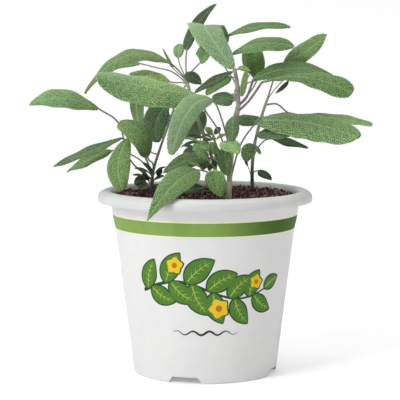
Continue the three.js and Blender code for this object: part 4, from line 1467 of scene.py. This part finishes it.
@dataclass(frozen=True)
class InkFinish:
    """Printing ink on plastic: an even colour with fine missed specks, a slightly duller sheen and any
    painted shade to the right.
    """

    name: str
    colour: str
    edge: str = ""
    edge_low: float = 0.0
    edge_high: float = 0.0
    right: str = ""
    missed: str = "e9eae6"

    def material(self) -> Material:
        """Builds the material, with lines of the edge's colour beyond two heights, if it has any.

        Returns:
            The material.
        """
        made, wire, shader = new_material(self.name)
        uneven = Effects.UNEVEN_TONE.placed_in(wire, Scale=210.0, Contrast=1.4).outputs["Mask"]
        base = np.array(srgb(self.colour))
        lighter, darker = base ** 0.94, base * 0.86
        lighter[3] = darker[3] = 1.0
        tone = wire.mix(uneven, tuple(darker), tuple(lighter))
        across, _, height = wire.split(wire.place())
        # Painted shade: the ink darkens towards the right, as if the light came from the left.
        if self.right:
            tone = wire.mix(wire.share(across, 0.002, 0.04), tone, srgb(self.right))
        if self.edge:
            ragged = wire.math("ADD", height, wire.times(wire.noise(700.0), 0.08 * MM))
            above = wire.math("GREATER_THAN", ragged, self.edge_high * MM)
            below = wire.math("LESS_THAN", ragged, self.edge_low * MM)
            tone = wire.mix(wire.math("ADD", above, below), tone, srgb(self.edge))
        specks = wire.times(wire.share(wire.noise(2600.0, 3.0), 0.66, 0.72), 0.4)
        wire.dress(shader, {
            "Base Color": wire.mix(specks, tone, srgb(self.missed)),
            "Roughness": wire.share(uneven, 0.0, 1.0, 0.44, 0.54),
            "Normal": wire.bump(wire.noise(1500.0, 3.0), 0.02, 0.5), "Specular IOR Level": 0.16})
        return made


@dataclass
class Pot:
    """The nursery pot: one lathe with a rolled lip, four foot notches and five drain holes."""

    base_radius: float = 38.3
    body_top: tuple[float, float] = (47.9, 76.8)
    band_low: tuple[float, float] = (48.1, 77.7)
    collar_foot: tuple[float, float] = (49.6, 84.8)
    band_high: tuple[float, float] = (49.73, 86.0)
    collar_top: tuple[float, float] = (50.4, 92.0)
    lip: tuple[Point, ...] = (
        (57.25, 92.1, 0.2), (57.6, 94, 0.8), (57, 96, 1.2), (54.6, 97.7, 1.6), (52.4, 98, 1.4),
        (50.9, 97.6, 0.7), (49.97, 96, 0.7))
    wall: float = 1.3
    floor_underside: float = 4.2
    floor_top: float = 5.5
    foot_ring: float = 2.3
    sides: int = 240
    notch_count: int = 4
    first_notch: float = -16.0
    notch_height: float = 3.4
    notch_below: float = 19.8
    notch_above: float = 13.6
    notch_reach: float = 12.0
    drain_radius: float = 4.0
    drain_sides: int = 48
    drain_from_centre: float = 27.0
    longest_step: float = 2.2
    crease: float = 38.0
    plastic: PlasticFinish = PlasticFinish()
    # The band's last colour is painted shade that darkens it towards the right.
    band: InkFinish = InkFinish("pot_band", "8aab54", "eef2c8", 78.3, 85.3, "3f6414")

    def outline(self) -> list[tuple[float, float, float]]:
        """The lathe's corners from the floor's underside, round the foot and lip, to the floor's top.

        Returns:
            Radius, height and rounding radius of each corner.
        """
        foot_inside = self.base_radius - self.foot_ring
        slope = (self.body_top[0] - self.base_radius) / self.body_top[1]
        inner_floor = self.base_radius + slope * self.floor_top - self.wall
        return [
            (foot_inside, self.floor_underside, 0.5), (foot_inside, 0, 0.4), (self.base_radius, 0, 0.8),
            (*self.body_top, 0), (*self.band_low, 0), (*self.collar_foot, 0), (*self.band_high, 0),
            (*self.collar_top, 0.6), *self.lip, (self.collar_top[0] - self.wall, self.collar_top[1], 0),
            (self.collar_foot[0] - self.wall, self.collar_foot[1], 0),
            (self.body_top[0] - self.wall, self.body_top[1], 0), (inner_floor, self.floor_top, 1.2),
        ]

    def rounded(self) -> Array:
        """The outline with its corners rounded and its long sides cut into even steps.

        Returns:
            Radius and height of each point.
        """
        corners = np.array([(r, z) for r, z, _ in self.outline()], float)
        corners = np.vstack([[0.5, self.floor_underside], corners, [0.5, self.floor_top]])
        radii = [0, *(rounding for _, _, rounding in self.outline()), 0]
        points = [corners[0]]
        for at in range(1, len(corners) - 1):
            here = corners[at]
            back, ahead = corners[at - 1] - here, corners[at + 1] - here
            cut = min(radii[at], 0.45 * np.linalg.norm(back), 0.45 * np.linalg.norm(ahead))
            if cut == 0:
                points.append(here)
                continue
            start, end = here + unit(back) * cut, here + unit(ahead) * cut
            for t in np.linspace(0, 1, 6):
                points.append((1 - t) ** 2 * start + 2 * t * (1 - t) * here + t * t * end)
        points.append(corners[-1])
        return self.stepped(np.array(points), self.longest_step)

    @staticmethod
    def stepped(points: Array, step: float) -> Array:
        """Cuts the long sides of a line into steps.

        Args:
            points: The line's points.
            step: The longest step.

        Returns:
            The line with the steps between its points.
        """
        result = [points[0]]
        for start, end in zip(points[:-1], points[1:]):
            pieces = max(1, math.ceil(np.linalg.norm(end - start) / step))
            result += [start + (end - start) * share for share in np.linspace(0, 1, pieces + 1)[1:]]
        return np.array(result)

    def build(self) -> None:
        """Turns the lathe, cuts notches and holes, and inks the band."""
        profile = self.rounded()
        angle = np.linspace(0, 2 * math.pi, self.sides, endpoint=False)
        across = profile[:, :1]
        rings = np.stack([across * np.cos(angle), across * np.sin(angle),
                          np.broadcast_to(profile[:, 1:], (len(profile), self.sides))], axis=2)
        gathered = Gathered()
        gathered.add(*lofted(rings))
        pot = gathered.as_object("pot_shell", self.plastic.material(), self.band.material())
        self.cut(pot, self.cutters())
        self.ink_band(pot)
        pot.data.set_sharp_from_angle(angle=math.radians(self.crease))
        finished(pot, "pot_plastic", "pot")

    def cutters(self) -> Object:
        """The blocks of the foot notches and the rods of the drain holes.

        Returns:
            The cutters, as one object.
        """
        gathered = Gathered()
        spots = [np.zeros(3)]
        low, high, tall = self.notch_below / 2, self.notch_above / 2, self.notch_height
        for number in range(self.notch_count):
            angle = math.radians(self.first_notch + 360 / self.notch_count * number)
            outwards = np.array([math.sin(angle), -math.cos(angle), 0])
            sideways = np.array([math.cos(angle), math.sin(angle), 0])
            spots.append(outwards * self.drain_from_centre)
            rings = []
            for away in (-self.notch_reach / 2, self.notch_reach / 2):
                middle = outwards * (self.base_radius + away)
                rings.append([middle + sideways * x + (0, 0, z)
                              for x, z in ((-low, -1.0), (low, -1.0), (high, tall), (-high, tall))])
            gathered.add(*lofted(np.array(rings)))
        turn = np.linspace(0, 2 * math.pi, self.drain_sides, endpoint=False)
        circle = self.drain_radius * np.stack([np.cos(turn), np.sin(turn), 0 * turn], axis=1)
        for spot in spots:
            gathered.add(*lofted(np.stack([circle + spot + (0, 0, height) for height in (1.0, 9.0)])))
        return gathered.as_object("pot_cutter")

    @staticmethod
    def cut(piece: Object, cutter: Object) -> None:
        """Cuts one object out of another and removes the cutter.

        Args:
            piece: The object to cut.
            cutter: What is cut out of it.
        """
        modifier = piece.modifiers.new("cut", "BOOLEAN")
        modifier.operation, modifier.object, modifier.solver = "DIFFERENCE", cutter, "MANIFOLD"
        mesh = bpy.data.meshes.new_from_object(piece.evaluated_get(bpy.context.evaluated_depsgraph_get()))
        piece.modifiers.remove(modifier)
        piece.data = mesh
        bpy.data.objects.remove(cutter)

    def ink_band(self, pot: Object) -> None:
        """Gives the band's faces on the outside their ink.

        Args:
            pot: The pot's shell.
        """
        low, high = self.band_low[1], self.band_high[1]
        for face in pot.data.polygons:
            x, y, z = (value / MM for value in face.center)
            within = self.body_top[0] - 0.4 + (z - low) * 0.2
            if low < z < high and math.hypot(x, y) > within:
                face.material_index = 1


# -------------------- print


class Ink(Enum):
    """The print's inks, each with its colour and how far it stands on the wall in millimetres."""

    OUTLINE = ("2c4a24", 0.05)
    LEAF = ("548430", 0.09)
    LIGHT = ("a9c653", 0.12)
    PETAL = ("f3cf2b", 0.13)
    HEART = ("c9791d", 0.17)
    LINE = ("3a3d3b", 0.06)


@dataclass
class Print:
    """A sprig with leaves and small flowers, printed on the pot's front, over a thin wavy line."""

    pot: Pot
    centre_height: float = 51.0
    line_height: float = 27.5
    leaf_length: float = 18.5
    leaf_half: float = 5.3
    petal_length: float = 5.4
    petal_half: float = 2.5
    heart: float = 3.4
    stem_reach: float = 35.0
    outline: float = 0.75
    leaf_places: tuple[float, ...] = (0.04, 0.2, 0.36, 0.52, 0.68, 0.84)
    flowers: tuple[tuple[float, ...], ...] = (
        (0.27, 8.6, 0.86, 12), (0.6, -7.2, 1.0, 40), (0.9, 6.4, 0.72, 5))
    gathered: Gathered = field(default_factory=Gathered)

    def on_wall(self, places: Array, out: float) -> Array:
        """Lays flat places on the pot's tapering wall.

        Args:
            places: Distance round the wall from the front and height, in the last axis.
            out: How far outside the wall.

        Returns:
            Points in millimetres.
        """
        slope = (self.pot.body_top[0] - self.pot.base_radius) / self.pot.body_top[1]
        height = places[..., 1]
        radius = self.pot.base_radius + slope * height
        angle = places[..., 0] / radius
        return np.stack([np.sin(angle) * (radius + out), -np.cos(angle) * (radius + out), height], axis=-1)

    def ribbon(self, ink: Ink, middle: Array, half: Array, columns: int = 7) -> None:
        """Prints one band of ink along a line.

        Args:
            ink: The ink.
            middle: Points of the line, as (distance round the wall, height).
            half: Half the band's width at each point.
            columns: Points across it.
        """
        along = unit(np.gradient(middle, axis=0))
        side = np.stack([-along[:, 1], along[:, 0]], axis=1)
        across = np.linspace(-1, 1, columns)[None, :, None]
        flat = middle[:, None] + side[:, None] * across * np.maximum(half, 0.02)[:, None, None]
        front = self.on_wall(flat, ink.value[1])
        back = self.on_wall(flat[:, ::-1], -0.06)
        self.gathered.add(*lofted(np.concatenate([front, back], axis=1)), slot=list(Ink).index(ink))

    def blade(self, ink: Ink, foot: Array, angle: float, length: float, half: float, bow: float,
              grow: float = 0.0) -> None:
        """Prints one leaf or petal.

        Args:
            ink: The ink.
            foot: Where it starts.
            angle: The way it points, in degrees from the right.
            length: Its length.
            half: Half its width.
            bow: How far its middle line bends, in millimetres.
            grow: How much larger than itself it is all round.
        """
        share = np.linspace(0, 1, 22)
        towards, side = self.heading(angle)
        reach = -grow + (length + 2 * grow) * share
        middle = foot + towards * reach[:, None] + side * (bow * np.sin(math.pi * share))[:, None]
        width = (half + grow) * np.sin(math.pi * np.clip(share, 0.004, 0.996) ** 0.85) ** 0.75
        self.ribbon(ink, middle, width)

    @staticmethod
    def heading(angle: float) -> tuple[Array, Array]:
        """The direction at an angle in degrees, and the one to its left."""
        right, up = math.cos(math.radians(angle)), math.sin(math.radians(angle))
        return np.array([right, up]), np.array([-up, right])

    def leaf(self, foot: Array, angle: float, size: float, bow: float) -> None:
        """Prints a leaf with its outline, its light half and its veins.

        Args:
            foot: Where it starts.
            angle: The way it points, in degrees from the right.
            size: Its share of the full size.
            bow: How far it bends, in millimetres.
        """
        length, half = self.leaf_length * size, self.leaf_half * size
        self.blade(Ink.OUTLINE, foot, angle, length, half, bow, self.outline)
        self.blade(Ink.LEAF, foot, angle, length, half, bow)
        towards, side = self.heading(angle)
        share = np.linspace(0.06, 0.9, 16)
        sag = (bow * np.sin(math.pi * share))[:, None]
        vein = foot + towards * (length * share)[:, None] + side * sag
        self.ribbon(Ink.LIGHT, vein, 0.32 * (1 - 0.7 * share), 5)
        for at in (3, 6, 9, 12):
            for way in (-1, 1):
                tip = vein[at] + (towards * 0.75 + side * way) * half * 0.5 * (1 - 0.4 * share[at])
                twig = vein[at] + (tip - vein[at]) * np.linspace(0, 1, 5)[:, None]
                self.ribbon(Ink.LIGHT, twig, np.linspace(0.2, 0.08, 5), 3)

    def flower(self, centre: Array, size: float, turn: float) -> None:
        """Prints a flower of five round petals about a dark heart.

        Args:
            centre: Its middle.
            size: Its share of the full size.
            turn: The angle of its first petal, in degrees.
        """
        length, half = self.petal_length * size, self.petal_half * size
        for grow, ink in ((0.8, Ink.OUTLINE), (0.0, Ink.PETAL)):
            for petal in range(5):
                self.blade(ink, centre, turn + 72 * petal, length, half, 0.0, grow)
        share = np.linspace(0, 1, 12)
        middle = centre + np.stack([(share - 0.5) * self.heart * size, 0 * share], axis=1)
        bulge = np.sqrt(np.maximum(1 - (2 * share - 1) ** 2, 0.0001))
        self.ribbon(Ink.HEART, middle, self.heart / 2 * size * bulge)

    def stem(self, share: Array) -> Array:
        """Points of the sprig's stem at shares of its width."""
        height = self.centre_height - 1.0 + 4.5 * np.sin(2.1 * math.pi * share - 0.3)
        return np.stack([self.stem_reach * (2 * share - 1), height], axis=1)

    def build(self) -> None:
        """Prints the sprig and the line under it."""
        share = np.linspace(0, 1, 60)
        self.ribbon(Ink.OUTLINE, self.stem(share), 0.95 - 0.55 * share)
        for number, place in enumerate(self.leaf_places):
            foot = self.stem(np.array([place]))[0]
            ahead = self.stem(np.array([place + 0.01]))[0] - foot
            lean = math.degrees(math.atan2(ahead[1], ahead[0]))
            size = 1.0 - 0.07 * abs(number - 2)
            self.leaf(foot, lean + 52, size, 1.3)
            self.leaf(foot + ahead * 4, lean - 50, size * 0.96, -1.3)
        tip = self.stem(np.array([1.0]))[0]
        self.leaf(tip - (1.0, 0.4), 28, 0.62, 0.6)
        for place, up, size, turn in self.flowers:
            self.flower(self.stem(np.array([place]))[0] + (0.0, up), size, turn)
        waves = np.linspace(-17, 17, 120)
        line = np.stack([waves, self.line_height + 1.0 * np.sin(waves * 0.74)], axis=1)
        self.ribbon(Ink.LINE, line, 0.42 + 0.2 * np.cos(waves * 0.09) - 0.02 * np.abs(waves), 5)
        inks = [InkFinish(f"ink_{ink.name.lower()}", ink.value[0]).material() for ink in Ink]
        finished(self.gathered.as_object("pot_print", *inks, crease=40), "pot_plastic", "pot")


# -------------------- compost


@dataclass(frozen=True)
class CompostFinish:
    """Damp crumbly compost: dark plum-brown, each crumb with a tone of its own."""

    dark: str = "1c1115"
    middle: str = "59393f"
    pale: str = "b28d87"

    def material(self) -> Material:
        """Builds the material, which reads each crumb's own number where it has one.

        Returns:
            The material.
        """
        made, wire, shader = new_material("compost")
        own = wire.value_of("crumb_tone")
        uneven = Effects.UNEVEN_TONE.placed_in(wire, Scale=900.0, Contrast=2.2)
        mask = uneven.outputs["Mask"]
        spread = wire.math("ADD", wire.times(own, 0.6), wire.times(mask, 0.5))
        ramp = wire.mix(wire.share(spread, 0.25, 0.62), srgb(self.dark), srgb(self.middle))
        wire.dress(shader, {
            "Base Color": wire.mix(wire.share(spread, 0.62, 0.96), ramp, srgb(self.pale)),
            "Roughness": wire.share(mask, 0.0, 1.0, 0.72, 0.98),
            "Normal": wire.bump(uneven.outputs["Height"], 0.5, 0.9), "Specular IOR Level": 0.25})
        return made


def crumb_tree(finish: Material) -> NodeTree:
    """Crumbs strewn on a surface: each a lump of its own size, proportions, turn and tone.

    Args:
        finish: The crumbs' material.

    Returns:
        The tree.
    """
    inputs = {"Density": ("Float", 1.0e6),
              "Smallest": ("Vector", (0.3 * MM,) * 3),
              "Largest": ("Vector", (0.6 * MM,) * 3), "Detail": ("Int", 1),
              "Dent": ("Float", 0.25 * MM), "Tone Low": ("Float", 0.0),
              "Tone High": ("Float", 1.0), "Seed": ("Int", 1)}
    tree, wire, start, end = new_growth("Crumbs", inputs)
    named = start.outputs
    spots = wire.node("GeometryNodeDistributePointsOnFaces",
                        {"Mesh": named["Geometry"], "Density": named["Density"], "Seed": named["Seed"]})
    lump = wire.node("GeometryNodeMeshIcoSphere", {"Radius": 1.0, "Subdivisions": named["Detail"]})
    size = wire.draw(named["Smallest"], named["Largest"], named["Seed"])
    copies = wire.node("GeometryNodeInstanceOnPoints",
                         {"Points": spots, "Instance": lump,
                          "Rotation": wire.draw((-3.1,) * 3, (3.1,) * 3, 5), "Scale": size})
    tone = wire.draw(named["Tone Low"], named["Tone High"], 9, "FLOAT")
    toned = wire.node("GeometryNodeStoreNamedAttribute",
                        {"Geometry": copies, "Name": "crumb_tone", "Value": tone},
                        data_type="FLOAT", domain="INSTANCE")
    real = wire.node("GeometryNodeRealizeInstances", {"Geometry": toned})
    noise = wire.node("ShaderNodeTexNoise", {"Scale": 800.0, "Detail": 2.0})
    centred = wire.node("ShaderNodeVectorMath", {0: noise.outputs["Color"], 1: (0.5, 0.5, 0.5)},
                          operation="SUBTRACT")
    push = wire.scaled(centred, named["Dent"])
    dented = wire.node("GeometryNodeSetPosition", {"Geometry": real, "Offset": push})
    flat = wire.node("GeometryNodeSetShadeSmooth", {"Geometry": dented, "Shade Smooth": False})
    wire.deliver(end, flat, finish)
    return tree


@dataclass
class Compost:
    """The plug of compost that fills the pot, with loose crumbs and fibres on its top."""

    level: float = 94.6
    radius: float = 49.31
    foot_level: float = 5.8
    foot_radius: float = 36.9
    side_levels: tuple[float, ...] = (5.8, 30.0, 60.0, 85.0)
    inmost: float = 0.6
    gap: float = 0.4
    mound: float = 1.1
    clod: float = 0.7
    lump: float = 0.75
    lump_pitch: float = 4.5
    sides: int = 300
    finish: CompostFinish = CompostFinish()

    def height(self, x: Array, y: Array) -> Array:
        """The compost's surface, as in the part's own source, with finer lumps.

        Args:
            x: Places to the right, in millimetres.
            y: Places to the back.

        Returns:
            The height at each place.
        """
        share = np.clip(np.hypot(x, y) / self.radius, 0, 1)
        clods = np.sin(0.41 * x + 1.3) * np.cos(0.37 * y - 0.6) + 0.6 * np.sin(0.83 * y + 0.29 * x)
        broad = self.level + self.mound * (1 - share ** 2) + self.clod * clods * (1 - share ** 6)
        return broad + self.lump * rough(x, y, self.lump_pitch, 3, 4) * (1 - 0.7 * share ** 8)

    def build(self) -> None:
        """Builds the plug, then strews crumbs of three kinds."""
        angle = np.linspace(0, 2 * math.pi, self.sides, endpoint=False)
        right, back, ones = np.cos(angle), np.sin(angle), np.ones(self.sides)
        reach = np.linspace(self.radius, self.inmost, 96)[:, None]
        x, y = reach * right, reach * back
        top = np.stack([x, y, self.height(x, y)], axis=2)
        side = []
        for height in self.side_levels:
            share = (height - self.foot_level) / (self.level - self.foot_level)
            wide = self.foot_radius + (self.radius - self.gap - self.foot_radius) * share
            side.append(np.stack([wide * right, wide * back, height * ones], axis=1))
        foot = np.stack([self.inmost * right, self.inmost * back, self.foot_level * ones], axis=1)
        points, quads, ends = lofted(np.concatenate([[foot], side, top]))
        gathered = Gathered()
        gathered.add(points, quads, ends, crumb_tone=np.full(len(points), 0.3))
        material = self.finish.material()
        finished(gathered.as_object("compost_plug", material), "compost", "soil")
        tree = crumb_tree(material)
        self.strew("compost_clods", tree, Density=9.0e4, Smallest=(0.7, 0.6, 0.45),
                   Largest=(1.9, 1.5, 1.1), Detail=2, Dent=1.1, Seed=2)
        self.strew("compost_crumbs", tree, Density=6.5e5, Smallest=(0.3, 0.25, 0.2),
                   Largest=(0.8, 0.7, 0.6), Detail=1, Dent=0.5, Seed=7)
        self.strew("compost_fibres", tree, Density=4.5e4, Smallest=(1.2, 0.12, 0.12),
                   Largest=(3.4, 0.3, 0.22), Detail=1, Dent=1.0, Seed=12, Tone_Low=0.75, Tone_High=1.3)

    def strew(self, name: str, tree: NodeTree, **inputs: Any) -> None:
        """Strews one kind of crumb over the top.

        Args:
            name: The piece's name.
            tree: The geometry tree.
            inputs: Its named inputs, with sizes in millimetres.
        """
        for size in ("Smallest", "Largest"):
            inputs[size] = tuple(value * MM for value in inputs[size])
        inputs["Dent"] *= MM
        rings, around = 30, 72
        angle = np.linspace(0, 2 * math.pi, around, endpoint=False)
        reach = np.linspace(self.radius - 1.0, 1.0, rings)[:, None]
        x, y = reach * np.cos(angle), reach * np.sin(angle)
        points = np.stack([x, y, self.height(x, y)], axis=2).reshape(-1, 3)
        host = placed("strewn_host", mesh_from("strewn_host", points, [ring_quads(rings, around)]))
        finished(grown(name, host, tree, **inputs), "compost", "soil")


# -------------------- stage


@dataclass(frozen=True)
class Stage:
    """The pale sweep behind the pot, the soft light and the camera."""

    sweep_colour: str = "fafafa"
    sweep_front: float = -3000.0
    sweep_bend: float = 1200.0
    sweep_half: float = 4000.0
    sweep_columns: int = 30
    camera_at: Point = (-0.0027, -0.86, 0.183)
    pitch: float = 6.03
    lens: float = 145.1

    def build(self) -> None:
        """Builds the sweep, the lights and the camera."""
        self.sweep()
        self.lamp("key", (-1.2, -1.1, 1.3), 0.8, 17.5)
        self.lamp("fill", (1.5, -1.1, 0.8), 1.6, 1.0)
        self.lamp("top", (-0.2, 0.3, 1.7), 1.2, 7.0)
        scene = bpy.context.scene
        world = bpy.data.worlds.new("studio")
        world.use_nodes = True
        scene.world = world
        wire, background = Wiring(world.node_tree), world.node_tree.nodes["Background"]
        background.inputs["Color"].default_value = (1.0, 1.0, 1.0, 1.0)
        seen = wire.node("ShaderNodeLightPath").outputs["Is Camera Ray"]
        wire.feed(background.inputs["Strength"], wire.share(seen, 0.0, 1.0, 0.52, 1.0))
        camera = placed("camera", bpy.data.cameras.new("camera"))
        camera.data.lens = self.lens
        camera.data.sensor_width = 36.0
        camera.data.clip_start = 0.02
        camera.location = self.camera_at
        camera.rotation_euler = (math.radians(90 - self.pitch), 0.0, 0.0)
        scene.camera = camera
        scene.view_settings.view_transform = "Standard"

    def sweep(self) -> None:
        """Lays a floor that curves up into a backdrop."""
        turn, columns, bend = np.linspace(0, math.pi / 2, 24), self.sweep_columns, self.sweep_bend
        flat = np.stack([np.linspace(self.sweep_front, bend, 16), np.zeros(16)], axis=1)
        curve = np.stack([bend + bend * np.sin(turn), bend - bend * np.cos(turn)], axis=1)
        line = np.concatenate([flat, curve[1:], [[2 * bend, self.sweep_half]]])
        rows = np.empty((len(line), columns, 3))
        rows[..., 0] = np.linspace(-self.sweep_half, self.sweep_half, columns)
        rows[..., 1:] = line[:, None]
        row, column = np.meshgrid(np.arange(len(line) - 1), np.arange(columns - 1), indexing="ij")
        first = (row * columns + column).ravel()
        faces = np.stack([first, first + 1, first + columns + 1, first + columns], axis=1)
        mesh = mesh_from("sweep", rows.reshape(-1, 3), [faces])
        mesh.materials.append(self.paper())
        placed("sweep", mesh)

    def paper(self) -> Material:
        """Builds the sweep's material: matt, even paper that is a little brighter to the camera.

        Returns:
            The material.
        """
        made, wire, shader = new_material("sweep_paper")
        tone = np.array(srgb(self.sweep_colour))
        darker = tone * (0.985, 0.985, 0.985, 1)
        seen = wire.node("ShaderNodeLightPath").outputs["Is Camera Ray"]
        wire.dress(shader, {
            "Base Color": wire.mix(wire.noise(240.0, 4.0), tuple(darker), tuple(tone)),
            "Roughness": 0.9, "Specular IOR Level": 0.1, "Emission Color": (1.0, 1.0, 1.0, 1.0),
            "Emission Strength": wire.times(seen, 0.3)})
        return made

    @staticmethod
    def lamp(name: str, place: Point, size: float, power: float) -> None:
        """Hangs one soft square lamp that looks at the plant.

        Args:
            name: The lamp's name.
            place: Where it hangs, in metres.
            size: Its side, in metres.
            power: Its power, in watts.
        """
        data = bpy.data.lights.new(name, "AREA")
        data.energy, data.size = power, size
        lamp = placed(name, data)
        lamp.location = place
        away = np.array(place) - (0.0, 0.0, 0.09)
        lamp.rotation_euler = (math.atan2(math.hypot(away[0], away[1]), away[2]), 0.0,
                               math.atan2(away[0], -away[1]))


# -------------------- build


def corners(bounds: Sequence[Any]) -> list[list[float]]:
    """Turns a box's two corners into plain lists."""
    return [list(corner) for corner in bounds]


def main() -> None:
    """Builds the potted sage and its stage."""
    logging.basicConfig(level=logging.INFO, format="%(message)s")
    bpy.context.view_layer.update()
    pot = Pot()
    pot.build()
    Print(pot).build()
    Compost().build()
    Plant(STEMS).build()
    Stage().build()


if __name__ == "__main__":
    main()
